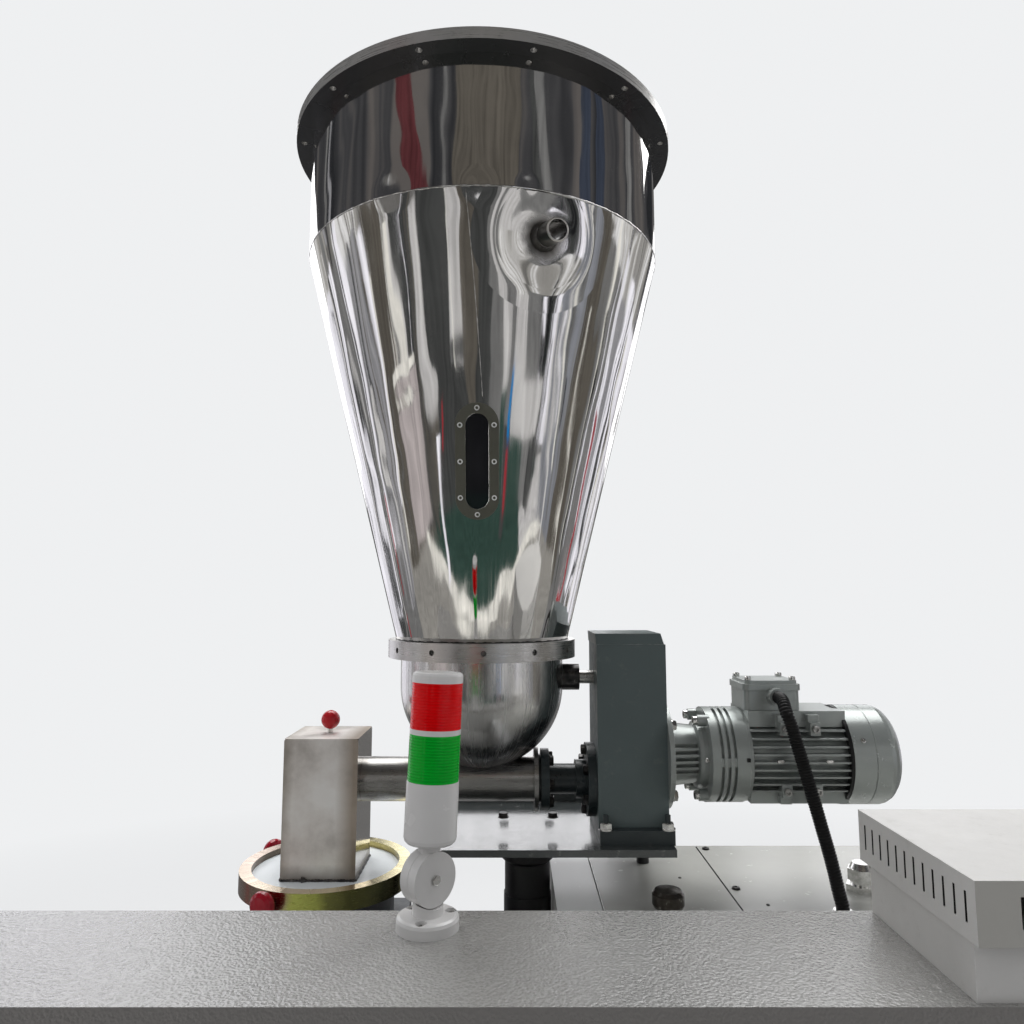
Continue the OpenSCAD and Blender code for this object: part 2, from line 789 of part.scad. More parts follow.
module fan_cowl() {
    straight = cowl_len - cowl_round;
    color("slategray") translate([body_x + body_len, feeder_y, motor_z]) rotate([0, 90, 0])
        difference() {
            rotate_extrude($fn = 96) polygon([[0, 0], [cowl_r, 0], [cowl_r, 31],
                [cowl_r - 1, 32], [cowl_r, 33], [cowl_r, straight], [cowl_r - 1.5, straight + 6],
                [cowl_r - 5, straight + 12], [cowl_r - 12, cowl_len], [0, cowl_len]]);
            for (i = [0 : cowl_slots - 1]) rotate([0, 0, 360 * i / cowl_slots])
                translate([18, -2, cowl_len - 6]) cube([34, 4, 7]);
        }
}

tbox_w = 86;
tbox_d = 80;
tbox_x = body_x - 4;
tbox_z = motor_z + fin_r;
tbox_h = 29;
tbox_lid_h = 14;
gland_len = 16;
conduit_x = 308;
conduit_z0 = tbox_z + 21;

module terminal_box() {
    color("slategray") {
        translate([tbox_x + 2, feeder_y - tbox_d / 2 + 2, tbox_z])
            slab(tbox_w - 4, tbox_d - 4, tbox_h, 8);
        translate([tbox_x, feeder_y - tbox_d / 2, tbox_z + tbox_h])
            slab(tbox_w, tbox_d, tbox_lid_h - 5, 9);
        translate([tbox_x + 4, feeder_y - tbox_d / 2 + 4, tbox_z + tbox_h + tbox_lid_h - 5])
            slab(tbox_w - 8, tbox_d - 8, 5, 7);
        translate([conduit_x, feeder_y - tbox_d / 2 + 2, conduit_z0]) rotate([90, 0, 0]) {
            hex(conduit_r + 4.5, gland_len / 2);
            cylinder(r = conduit_r + 3.2, h = gland_len);
        }
    }
}

conduit_route = [
    [308, 81.8, 1369], [307.6, 72, 1368.6], [306.6, 61, 1366.6], [305.2, 51, 1362],
    [304.8, 43.5, 1354], [307, 39, 1344], [312, 38, 1327.5], [316.3, 38, 1311],
    [320.6, 38, 1295], [324.8, 38, 1279], [329, 38, 1263], [333.1, 38, 1247],
    [337.4, 38, 1231], [341.6, 38, 1215], [345.6, 38, 1199], [349.8, 38, 1183],
    [353.9, 38, 1167], [357.4, 38, 1152], [360.8, 38, 1136], [363.9, 38, 1120],
    [366.8, 38, 1107], [369.1, 38, 1098], [369.5, 38, 1092.6]];

function unit(v) = v / norm(v);
function tangent(p, i) = unit(p[min(i + 1, len(p) - 1)] - p[max(i - 1, 0)]);

// Round tube swept along a route of points, with n sides
module sweep(p, r, n) {
    ring_pts = [for (i = [0 : len(p) - 1]) let (t = tangent(p, i), u = unit(cross([1, 0, 0], t)),
        v = cross(t, u)) for (k = [0 : n - 1]) p[i] + r * (cos(360 * k / n) * u
            + sin(360 * k / n) * v)];
    sides = [for (i = [0 : len(p) - 2], k = [0 : n - 1])
        [n * i + k, n * (i + 1) + k, n * (i + 1) + (k + 1) % n, n * i + (k + 1) % n]];
    polyhedron(points = ring_pts, faces = concat(sides, [[for (k = [0 : n - 1]) k]],
        [[for (k = [n - 1 : -1 : 0]) n * (len(p) - 1) + k]]), convexity = 4);
}

module motor_conduit() {
    color("black") sweep(conduit_route, conduit_r, 12);
}

// Vented box on the trunk's cover

module vent_box() {
    color("whitesmoke") translate([box_x + box_inset, bed_front + 2, cover_z])
        cube([bed_x1 - 16 - box_x - box_inset, trunk_depth - 2, box_h]);
}

module vent_box_lid() {
    w = bed_x1 - box_x;
    d = trunk_rear + lid_over - box_y0;
    wall = 2;
    slot = [3, 24];
    color("whitesmoke") difference() {
        translate([box_x, box_y0, cover_z + box_h]) cube([w, d, box_lid_h]);
        translate([box_x + wall, box_y0 + wall, cover_z + box_h + wall])
            cube([w - 2 * wall, d - 2 * wall, box_lid_h - 2 * wall]);
        translate([box_x + 26, box_y0 + 26, cover_z + box_h - 1])
            cube([w - 52, d - 52, box_lid_h / 2]);
        for (i = [0 : end_slots - 1]) translate([box_x - 1, box_y0 + (d - slot[0]) / 2
            + (i - (end_slots - 1) / 2) * slot_pitch, cover_z + box_h + 13])
            cube([w + 2, slot[0], slot[1]]);
        for (i = [0 : front_slots - 1]) translate([box_x + (w - slot[0]) / 2
            + (i - (front_slots - 1) / 2) * slot_pitch, box_y0 - 1, cover_z + box_h + 13])
            cube([slot[0], d + 2, slot[1]]);
    }
}

// Tower lamp

// Places a child at the fold pin, +Z along the pin to the front right
module at_fold_pin() {
    translate([lamp_x, lamp_y, fold_z]) rotate([0, 0, fold_angle]) rotate([90, 0, 0]) children();
}

// Leans a child about the fold pin, to the rear right
module leaned() {
    translate([lamp_x, lamp_y, fold_z]) rotate([0, 0, fold_angle]) rotate([0, lamp_lean, 0])
        rotate([0, 0, -fold_angle]) translate([-lamp_x, -lamp_y, -fold_z]) children();
}

pin_r = 3;
gap = 0.3;

module lamp_base() {
    color("whitesmoke") {
        translate([lamp_x, lamp_y, cover_z]) difference() {
            rotate_extrude($fn = 96)
                polygon([[0, 0], [30, 0], [30, 9], [29, 11.6], [26.5, 13], [0, 13]]);
            for (a = [-100, 20, 140]) rotate([0, 0, a]) translate([22.5, 0, 9])
                cylinder(r = 5.5, h = 5, $fn = 32);
        }
        difference() {
            translate([lamp_x, lamp_y, cover_z + 13]) cylinder(r1 = 15, r2 = 13.5, h = fold_h - 13);
            at_fold_pin() cylinder(r = knuckle_r + 1, h = 60, center = true);
        }
        at_fold_pin() translate([0, 0, -knuckle_t]) cylinder(r = knuckle_r, h = knuckle_t - gap / 2);
        intersection() {
            translate([lamp_x, lamp_y, cover_z + 13]) cylinder(r1 = 15, r2 = 13.5, h = fold_h - 13);
            at_fold_pin() translate([0, 0, -40]) cylinder(r = knuckle_r + 5, h = 40 - gap / 2);
        }
        at_fold_pin() translate([0, 0, -gap]) cylinder(r = pin_r, h = knuckle_t + gap);
    }
}

body_z0 = fold_z + 31;
body_h = 58;
green_z = body_z0 + body_h;
red_z = green_z + lens_h + 5;

module lamp_body() {
    color("whitesmoke") leaned() {
        difference() {
            union() {
                translate([lamp_x, lamp_y, body_z0]) rotate_extrude($fn = 96)
                    polygon([[0, 0], [lens_r - 5.5, 0], [lens_r - 2.5, 0.8], [lens_r - 0.3, 3],
                        [lens_r + 0.5, 6], [lens_r + 0.5, body_h], [0, body_h]]);
                difference() {
                    translate([lamp_x, lamp_y, fold_z]) cylinder(r = 10.6, h = 31);
                    at_fold_pin() translate([0, 0, -40])
                        cylinder(r = knuckle_r + 1, h = 40 + gap / 2);
                }
                at_fold_pin() translate([0, 0, gap / 2])
                    cylinder(r = knuckle_r, h = knuckle_t - gap / 2);
            }
            at_fold_pin() translate([0, 0, -1]) cylinder(r = pin_r + fit, h = knuckle_t + 2);
        }
        translate([lamp_x, lamp_y, green_z + lens_h]) cylinder(r = lens_r, h = 5);
        translate([lamp_x, lamp_y, red_z + lens_h]) rotate_extrude($fn = 96)
            polygon([[0, 0], [lens_r, 0], [lens_r, 7], [lens_r - 1, 9.2], [lens_r - 3, 10], [0, 10]]);
    }
}

// One lens with rings standing out from it
module lens(z) {
    pitch = lens_h / (lens_ribs + 1);
    leaned() translate([lamp_x, lamp_y, z]) rotate_extrude($fn = 64) polygon(concat([[0, 0],
        [lens_r, 0]], [for (i = [0 : lens_ribs - 1]) each [[lens_r, (i + 0.75) * pitch],
            [lens_r - 0.8, (i + 0.85) * pitch], [lens_r - 0.8, (i + 1.15) * pitch],
            [lens_r, (i + 1.25) * pitch]]], [[lens_r, lens_h], [0, lens_h]]));
}

module lens_red() { color("red") lens(red_z); }
module lens_green() { color("green") lens(green_z); }

levelling_feet();
base_cabinet();
gearbox_cabinet();
trunk_cabinet();
front_doors();
end_panels();
rear_panels();
trunk_cover();
deck_plates();
deck_fittings();
throat_block();
drive_lantern();
throat_disc();
clamp_ring();
clamp_knobs();
chute();
chute_lid();
feed_tube();
feed_screw();
bearing_housing();
gear_case();
gear_case_lid();
case_foot();
base_plate();
support_post();
post_socket();
hopper_rim();
hopper_cylinder();
hopper_cone();
sight_frame();
sight_glass();
hopper_flange();
mixing_bowl();
seal_housing();
agitator();
gear_reducer();
motor_body();
fan_cowl();
terminal_box();
motor_conduit();
vent_box();
vent_box_lid();
lamp_base();
lamp_body();
lens_red();
lens_green();
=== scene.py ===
import math

import bmesh
import bpy
import numpy as np
from mathutils import Matrix, Vector


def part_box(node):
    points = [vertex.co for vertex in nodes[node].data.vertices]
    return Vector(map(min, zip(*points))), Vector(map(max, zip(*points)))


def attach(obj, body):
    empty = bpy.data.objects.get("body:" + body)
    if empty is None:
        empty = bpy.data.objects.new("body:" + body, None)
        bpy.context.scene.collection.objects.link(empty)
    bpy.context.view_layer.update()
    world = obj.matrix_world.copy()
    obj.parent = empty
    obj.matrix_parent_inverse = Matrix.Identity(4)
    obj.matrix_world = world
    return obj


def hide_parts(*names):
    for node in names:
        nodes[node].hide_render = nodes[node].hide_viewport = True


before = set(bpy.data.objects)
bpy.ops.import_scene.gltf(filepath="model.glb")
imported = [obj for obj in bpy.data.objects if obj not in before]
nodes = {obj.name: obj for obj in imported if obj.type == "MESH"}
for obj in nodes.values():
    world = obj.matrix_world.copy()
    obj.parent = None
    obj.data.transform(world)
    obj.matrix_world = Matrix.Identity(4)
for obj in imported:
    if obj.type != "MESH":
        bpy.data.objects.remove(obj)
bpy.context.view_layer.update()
collection = bpy.context.scene.collection
view_settings = bpy.context.scene.view_settings
view_settings.view_transform = "Standard"


# Camera
# It stands at eye level in front of the machine, looks along +Y and a little up at the hopper.
# The lens and the place were worked out from the hopper's circles and the edges of the bed.
lens_data = bpy.data.cameras.new("eye_level")
lens_data.sensor_width = 36.0
lens_data.lens = 26.61
eye_level = bpy.data.objects.new("eye_level", lens_data)
eye_level.location = (-0.080, -1.0435, 1.515)
eye_level.rotation_euler = (math.radians(90 + 6.37), 0, 0)
collection.objects.link(eye_level)
bpy.context.scene.camera = eye_level


# Motor conduit
# A corrugated black plastic conduit, 18 mm over its ribs, carries the motor's leads from the
# gland on the terminal box down to the gland on the deck. It leans on nothing on its way.
def nodes_of(material):
    """The material's node tree, its links and its main shader."""
    tree = material.node_tree
    return tree, tree.links, tree.nodes["Principled BSDF"]


def new_finish(name):
    """A new material with its node tree, its links and its main shader."""
    made = bpy.data.materials.new(name)
    made.use_nodes = True
    return made, *nodes_of(made)


def node(tree, kind, inputs=None, **settings):
    """Adds a node, sets its properties and the values of its sockets, by name or by number."""
    made = tree.nodes.new(kind)
    for key, value in settings.items():
        setattr(made, key, value)
    for key, value in (inputs or {}).items():
        if isinstance(value, bpy.types.NodeSocket):
            tree.links.new(value, made.inputs[key])
        else:
            made.inputs[key].default_value = value
    return made


def vector_math(tree, operation, *values):
    made = node(tree, "ShaderNodeVectorMath", dict(enumerate(values)), operation=operation)
    return made.outputs["Value" if operation in ("LENGTH", "DOT_PRODUCT") else "Vector"]


def noise(tree, where, scale, detail=4.0, roughness=0.55, distortion=0.0):
    made = node(tree, "ShaderNodeTexNoise", {"Vector": where, "Scale": scale, "Detail": detail,
                                             "Roughness": roughness, "Distortion": distortion})
    return made.outputs["Fac"]


def graded(tree, value, *stops):
    """A colour ramp through (place, colour) stops, colours as three or four numbers."""
    ramp = tree.nodes.new("ShaderNodeValToRGB")
    tree.links.new(value, ramp.inputs["Fac"])
    bands = ramp.color_ramp.elements
    while len(bands) < len(stops):
        bands.new(0.5)
    for band, (place, colour) in zip(bands, stops):
        band.position = place
        band.color = (*colour[:3], 1.0)
    return ramp.outputs["Color"]


def mapped(tree, value, low, high, to_low, to_high):
    made = node(tree, "ShaderNodeMapRange", {"Value": value, "From Min": low, "From Max": high,
                                             "To Min": to_low, "To Max": to_high})
    return made.outputs["Result"]


def bump(tree, bsdf, height, distance, strength=1.0):
    made = node(tree, "ShaderNodeBump", {"Height": height, "Distance": distance,
                                         "Strength": strength})
    tree.links.new(made.outputs["Normal"], bsdf.inputs["Normal"])
    return made


def object_space(tree, scale=(1.0, 1.0, 1.0), centre=(0.0, 0.0, 0.0)):
    """Object coordinates, moved so that centre is at zero and then scaled."""
    place = tree.nodes.new("ShaderNodeTexCoord").outputs["Object"]
    return vector_math(tree, "MULTIPLY", vector_math(tree, "SUBTRACT", place, centre), scale)


def moulded_black():
    made, tree, links, bsdf = new_finish("conduit_black")
    where = object_space(tree)
    dust = noise(tree, where, 60.0, 6.0)
    colour = graded(tree, dust, (0.35, (0.003, 0.003, 0.0035)), (0.75, (0.010, 0.010, 0.010)))
    links.new(colour, bsdf.inputs["Base Color"])
    links.new(mapped(tree, dust, 0.3, 0.7, 0.30, 0.46), bsdf.inputs["Roughness"])
    bsdf.inputs["Specular IOR Level"].default_value = 0.3
    bump(tree, bsdf, noise(tree, where, 900.0, 2.0), 0.0002, 0.4)
    return made


def new_mesh_object(name, verts, faces, material, smooth=True):
    mesh = bpy.data.meshes.new(name)
    mesh.from_pydata([tuple(v) for v in verts], [], faces)
    mesh.validate()
    mesh.shade_smooth() if smooth else mesh.shade_flat()
    mesh.materials.append(material)
    made = bpy.data.objects.new(name, mesh)
    collection.objects.link(made)
    return made


CONDUIT_ROUTE = [
    (0.3080, 0.0818, 1.3690), (0.3076, 0.0720, 1.3686), (0.3066, 0.0610, 1.3666),
    (0.3052, 0.0510, 1.3620), (0.3048, 0.0435, 1.3540), (0.3070, 0.0390, 1.3440),
    (0.3120, 0.0380, 1.3275), (0.3163, 0.0380, 1.3110), (0.3206, 0.0380, 1.2950),
    (0.3248, 0.0380, 1.2790), (0.3290, 0.0380, 1.2630), (0.3331, 0.0380, 1.2470),
    (0.3374, 0.0380, 1.2310), (0.3416, 0.0380, 1.2150), (0.3456, 0.0380, 1.1990),
    (0.3498, 0.0380, 1.1830), (0.3539, 0.0380, 1.1670), (0.3574, 0.0380, 1.1520),
    (0.3608, 0.0380, 1.1360), (0.3639, 0.0380, 1.1200), (0.3668, 0.0380, 1.1070),
    (0.3691, 0.0380, 1.0980), (0.3695, 0.0380, 1.0926)]


def circle(radius, sides, start=0.0):
    """The (x, y) points of a circle, from a starting angle."""
    return [(radius * math.cos(a), radius * math.sin(a))
            for a in (start + 2 * math.pi * k / sides for k in range(sides))]


def smooth_route(points, step):
    """Points of a Catmull-Rom curve through the given ones, about a step apart."""
    pts = [Vector(p) for p in points]
    pts = [2 * pts[0] - pts[1], *pts, 2 * pts[-1] - pts[-2]]
    fine = []
    for a, b, c, d in zip(pts, pts[1:], pts[2:], pts[3:]):
        n = max(1, round((c - b).length / step))
        for t in (i / n for i in range(n)):
            fine.append(0.5 * (2 * b + (c - a) * t + (2 * a - 5 * b + 4 * c - d) * t * t
                               + (3 * b - a - 3 * c + d) * t ** 3))
    return fine + [pts[-2]]


def ribbed_hose(name, points, radius, groove, pitch, sides, material):
    """A tube along the points whose radius steps in and out once a pitch."""
    route = smooth_route(points, pitch / 4)
    side = Vector((1, 0, 0))
    verts = []
    for i, p in enumerate(route):
        t = (route[min(i + 1, len(route) - 1)] - route[max(i - 1, 0)]).normalized()
        u = (side - side.dot(t) * t).normalized()
        v = t.cross(u)
        r = radius if i % 4 in (0, 1) else radius - groove
        verts += [p + x * u + y * v for x, y in circle(r, sides)]
    faces = [(i * sides + k, i * sides + (k + 1) % sides, (i + 1) * sides + (k + 1) % sides,
              (i + 1) * sides + k) for i in range(len(route) - 1) for k in range(sides)]
    faces += [tuple(range(sides))[::-1], tuple((len(route) - 1) * sides + k for k in range(sides))]
    return new_mesh_object(name, verts, faces, material), route


CONDUIT_D, RIB_DEPTH, RIB_PITCH = 0.0182, 0.0015, 0.0040
conduit, conduit_line = ribbed_hose("corrugated_conduit", CONDUIT_ROUTE, CONDUIT_D / 2, RIB_DEPTH,
                                    RIB_PITCH, 24, moulded_black())
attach(conduit, "station")
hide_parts("motor_conduit")


# Floor, lamps and surround
# The machine stands on a pale floor in a pale room. Soft boxes light it from above and from both
# sides. Polished metal mirrors a dark roof, bright bays at eye level, flags and a marked floor.
def glow(name, colour, streaks=0.0):
    """A light of its own, uneven in upright streaks by that share."""
    made = bpy.data.materials.new(name)
    made.use_nodes = True
    tree = made.node_tree
    tree.nodes.clear()
    uneven = noise(tree, object_space(tree, (1.0, 1.0, 0.10)), 7.0, 6.0, 0.65)
    strength = mapped(tree, uneven, 0.35, 0.65, 1.0 - streaks, 1.0 + streaks)
    light = node(tree, "ShaderNodeEmission", {"Color": (*colour, 1.0), "Strength": strength})
    out = tree.nodes.new("ShaderNodeOutputMaterial")
    tree.links.new(light.outputs[0], out.inputs["Surface"])
    return made


def stage_mesh(name, verts, faces, material):
    made = new_mesh_object(name, verts, faces, material, smooth=False)
    return made


PALE = (0.86, 0.87, 0.88)


def math_node(tree, operation, *values):
    return node(tree, "ShaderNodeMath", dict(enumerate(values)), operation=operation).outputs[0]


def times(tree, first, second):
    return math_node(tree, "MULTIPLY", first, second)


def mixed_colour(tree, factor, first, second):
    made = node(tree, "ShaderNodeMix", {0: factor}, data_type="RGBA")
    for place, colour in ((6, first), (7, second)):
        if isinstance(colour, bpy.types.NodeSocket):
            tree.links.new(colour, made.inputs[place])
        else:
            made.inputs[place].default_value = (*colour, 1.0)
    return made.outputs[2]


def pale_floor():
    """Matt pale floor that keeps the shadow and melts into the pale room away from the machine."""
    made, tree, links, bsdf = new_finish("pale_floor")
    where = object_space(tree)
    colour = graded(tree, noise(tree, where, 1.5, 3.0), (0.3, (0.80, 0.80, 0.80)),
                    (0.7, (0.83, 0.83, 0.83)))
    bsdf.inputs["Roughness"].default_value = 0.7
    away = vector_math(tree, "LENGTH", where)
    bare = mapped(tree, away, 1.2, 5.0, 0.25, 1.0)
    seen = tree.nodes.new("ShaderNodeLightPath").outputs["Is Camera Ray"]
    links.new(mixed_colour(tree, seen, (0.56, 0.56, 0.57), colour), bsdf.inputs["Base Color"])
    room = node(tree, "ShaderNodeEmission", {"Color": (*PALE, 1.0), "Strength": 1.0})
    mixed = node(tree, "ShaderNodeMixShader", {0: times(tree, bare, seen)})
    links.new(bsdf.outputs[0], mixed.inputs[1])
    links.new(room.outputs[0], mixed.inputs[2])
    links.new(mixed.outputs[0], tree.nodes["Material Output"].inputs["Surface"])
    return made


FLOOR_HALF = 20.0
stage_mesh("floor", [(-FLOOR_HALF, -FLOOR_HALF, 0), (FLOOR_HALF, -FLOOR_HALF, 0),
                     (FLOOR_HALF, FLOOR_HALF, 0), (-FLOOR_HALF, FLOOR_HALF, 0)], [(0, 1, 2, 3)],
           pale_floor())


def mirrored_only(obj):
    """Shown in reflections alone, as a studio's flags and reflectors are."""
    obj.visible_camera = False
    obj.visible_diffuse = False
    obj.visible_transmission = False
    obj.visible_shadow = False
    return obj


TONES = {"black": (0.010, 0.011, 0.012), "dark": (0.060, 0.062, 0.062),
         "brown": (0.110, 0.100, 0.086), "middle": (0.19, 0.19, 0.19), "steel": (0.24, 0.25, 0.28),
         "grey": (0.34, 0.34, 0.36), "pink": (0.50, 0.45, 0.45), "light": (0.60, 0.59, 0.59),
         "cream": (0.92, 0.90, 0.84), "white": (0.98, 0.97, 1.05), "blue": (0.02, 0.22, 0.55),
         "red": (0.36, 0.035, 0.045), "green": (0.036, 0.070, 0.058), "floor": (0.31, 0.30, 0.28),
         "roof_red": (0.10, 0.030, 0.034), "roof_blue": (0.045, 0.055, 0.080)}
# Each panel: tone, the bearings where it starts and ends, and its lower and upper edge.
PANELS = [("white", -150, -122, 0.3, 2.9), ("dark", -122, -118, 0.0, 2.9),
          ("white", -118, -112, 0.4, 2.9), ("middle", -112, -103, 0.0, 2.8),
          ("white", -103, -96, 0.6, 2.9), ("grey", -96, -81, 0.0, 2.6),
          ("white", -81, -76, 0.6, 2.5), ("brown", -76, -60, 0.0, 2.6),
          ("cream", -60, -55, 0.8, 2.3), ("dark", -55, -42, 0.0, 2.5),
          ("light", -42, -36, 0.9, 2.2), ("dark", -36, -20, 0.0, 3.0),
          ("light", -20, -11, 1.2, 2.05), ("brown", -11, -4, 0.0, 3.0),
          ("dark", -20.5, -11, 0.0, 1.19), ("dark", -4, 9, 0.0, 2.6),
          ("middle", 9, 15, 0.0, 2.4), ("light", 15, 20, 0.9, 2.2),
          ("middle", 20, 24, 0.0, 2.3), ("light", 24, 33, 0.9, 1.9), ("middle", 33, 41, 0.0, 2.4),
          ("dark", 41, 49, 0.0, 2.3), ("white", 49, 55, 0.6, 2.3), ("steel", 55, 73, 0.0, 2.5),
          ("brown", 73, 87, 0.0, 2.7), ("middle", 87, 104, 0.0, 2.6), ("white", 104, 109, 0.7, 2.9),
          ("grey", 109, 114, 0.0, 2.6), ("white", 114, 122, 0.4, 2.9), ("dark", 122, 125, 0.2, 2.9),
          ("white", 125, 152, 0.3, 2.9), ("dark", 152, 166, 0.0, 2.6),
          ("light", 166, 174, 0.5, 2.4), ("brown", 174, 190, 0.0, 2.7),
          ("cream", 190, 196, 0.6, 2.3), ("middle", 196, 210, 0.0, 2.6),
          ("middle", -22, -20.5, 3.6, 8.0),
          ("brown", -15, 24, 3.6, 8.0), ("roof_blue", 62, 69, 3.6, 8.0),
          ("roof_blue", 75, 82, 3.6, 8.0), ("grey", -113, -111, 3.2, 8.0),
          ("middle", -119, -116, 3.0, 8.0), ("middle", 104, 110, 3.2, 8.0)]
NEAR_PANELS = [("pink", -67, -46, 0.60, 1.38), ("cream", -67, -47, 1.40, 1.50),
               ("dark", 20.5, 27, 0.40, 1.02), ("blue", 23.6, 26.2, 0.90, 1.34),
               ("red", 23.8, 26.2, 0.56, 0.86), ("red", -32.5, -30.8, 0.92, 1.20),
               ("red", 104, 107, 0.5, 1.7), ("red", -101, -98.5, 0.7, 1.2),
               ("red", -107, -103, 0.05, 0.6), ("white", -37.5, -34.5, 0.20, 1.10),
               ("dark", -168, -157.5, 1.4, 5.0), ("middle", -154, -152.6, 1.4, 5.0),
               ("dark", -142, -141.2, 1.4, 5.0), ("dark", 157, 167, 1.4, 5.0),
               ("middle", 150, 151.5, 1.4, 5.0)]
# Each leaning panel: tone and the (bearing, height) of its four corners.
LEANING = [("roof_red", (-61, 5.8), (-49, 5.8), (-26, 3.6), (-38, 3.6)),
           ("dark", (24, 5.8), (27, 5.8), (44, 3.6), (39, 3.6)),
           ("middle", (28, 5.6), (33, 5.6), (50, 3.6), (45, 3.6)),
           ("light", (27, 0.86), (46, 1.02), (47, 1.30), (27, 1.22)),
           ("cream", (-23.4, 2.6), (-22.8, 2.6), (-15.2, 1.2), (-15.8, 1.2))]
# Each field on the floor: tone, left and right edge, far and near edge.
FLOORS = [("middle", -9, 9, -9, 9), ("brown", -9, -3.3, -9, -2.6), ("green", -3.3, 4.6, -9, -2.6),
          ("light", 2.5, 6.5, -3.6, -2.6), ("floor", -7, 7, -2.36, -0.4),
          ("cream", -7, 7, -2.60, -2.36)]


AXIS_X, AXIS_Y = -0.126, 0.1365
FAR_RING, SLIVER_RING, NEAR_RING, LAYER = 4.4, 3.9, 3.1, 0.02


def around_hopper(bearing, far, z):
    """A point at that bearing, in degrees to the right of the camera's side, and that far off."""
    a = math.radians(bearing)
    return (AXIS_X + math.sin(a) * far, AXIS_Y - math.cos(a) * far, z)


def flags():
    """Upright flags and reflectors round the hopper, slivers between them, and a marked floor."""
    chance = np.random.default_rng(11)
    meshes = {tone: ([], []) for tone in TONES}

    def quad(tone, corners):
        verts, faces = meshes[tone]
        verts.extend(corners)
        faces.append(tuple(range(len(verts) - 4, len(verts))))

    def upright(tone, start, end, low, high, far):
        quad(tone, [around_hopper(*place) for place in
                    ((start, far, low), (end, far, low), (end, far, high), (start, far, high))])

    for i, panel in enumerate(PANELS):
        upright(*panel, FAR_RING + LAYER * i)
    for i, panel in enumerate(NEAR_PANELS):
        upright(*panel, NEAR_RING - LAYER * i)
    for i, (tone, *corners) in enumerate(LEANING):
        far = NEAR_RING + 0.1 + LAYER * i if corners[0][1] < 2 else FAR_RING - 0.1 - LAYER * i
        quad(tone, [around_hopper(bearing, far, z) for bearing, z in corners])
    for i in range(110):
        bearing = chance.uniform(40, 180) * chance.choice((-1, 1))
        tone = chance.choice(("black", "dark", "middle", "light", "white", "brown", "cream"))
        upright(tone, bearing, bearing + chance.uniform(0.3, 1.8), chance.uniform(0.0, 1.2),
                chance.uniform(1.4, 3.2), SLIVER_RING + 0.005 * i)
    for i, (tone, left, right, far, near) in enumerate(FLOORS):
        z = 0.01 * (i + 1)
        quad(tone, [(left, far, z), (right, far, z), (right, near, z), (left, near, z)])
    for tone, (verts, faces) in meshes.items():
        if faces:
            mirrored_only(stage_mesh("flags_" + tone, verts, faces,
                                     glow("flag_" + tone, TONES[tone], 0.30)))


flags()
# Each window behind the machine: left and right edge, sill, head and brightness.
WINDOWS = [(-3.9, -1.25, 1.9, 4.4, 1.9), (-0.75, 0.46, 1.55, 2.50, 2.1),
           (0.66, 0.86, 2.2, 3.6, 1.8), (1.0, 2.5, 2.0, 3.8, 1.6)]
REAR_WALL = 3.3
for i, (left, right, sill, head, light) in enumerate(WINDOWS):
    corners = (left, sill), (right, sill), (right, head), (left, head)
    panes = [(x, REAR_WALL, z) for x, z in corners]
    mirrored_only(stage_mesh("rear_window_%d" % i, panes, [(0, 1, 2, 3)],
                             glow("window_%d" % i, (light, light, light * 1.02), 0.15)))


def soft_box(name, place, aim, size, watts, mirrored=True):
    data = bpy.data.lights.new(name, "AREA")
    data.shape = "RECTANGLE"
    data.size, data.size_y = size
    data.energy = watts
    lamp = bpy.data.objects.new(name, data)
    lamp.location = place
    lamp.rotation_mode = "QUATERNION"
    lamp.rotation_quaternion = (Vector(aim) - Vector(place)).to_track_quat("-Z", "Y")
    lamp.visible_glossy = mirrored
    collection.objects.link(lamp)


soft_box("roof_light", (0.3, 1.6, 4.6), (0.0, 0.0, 1.2), (4.5, 2.6), 170.0)
soft_box("left_light", (-3.4, -2.4, 3.2), (0.0, 0.0, 1.4), (1.6, 2.4), 34.0, False)
soft_box("right_light", (3.4, -1.8, 2.6), (0.2, 0.0, 1.3), (1.0, 2.4), 18.0, False)


def plus(tree, first, second):
    return math_node(tree, "ADD", first, second)


def axes_of(tree, vector):
    """The X, Y and Z of a vector."""
    return node(tree, "ShaderNodeSeparateXYZ", {0: vector}).outputs


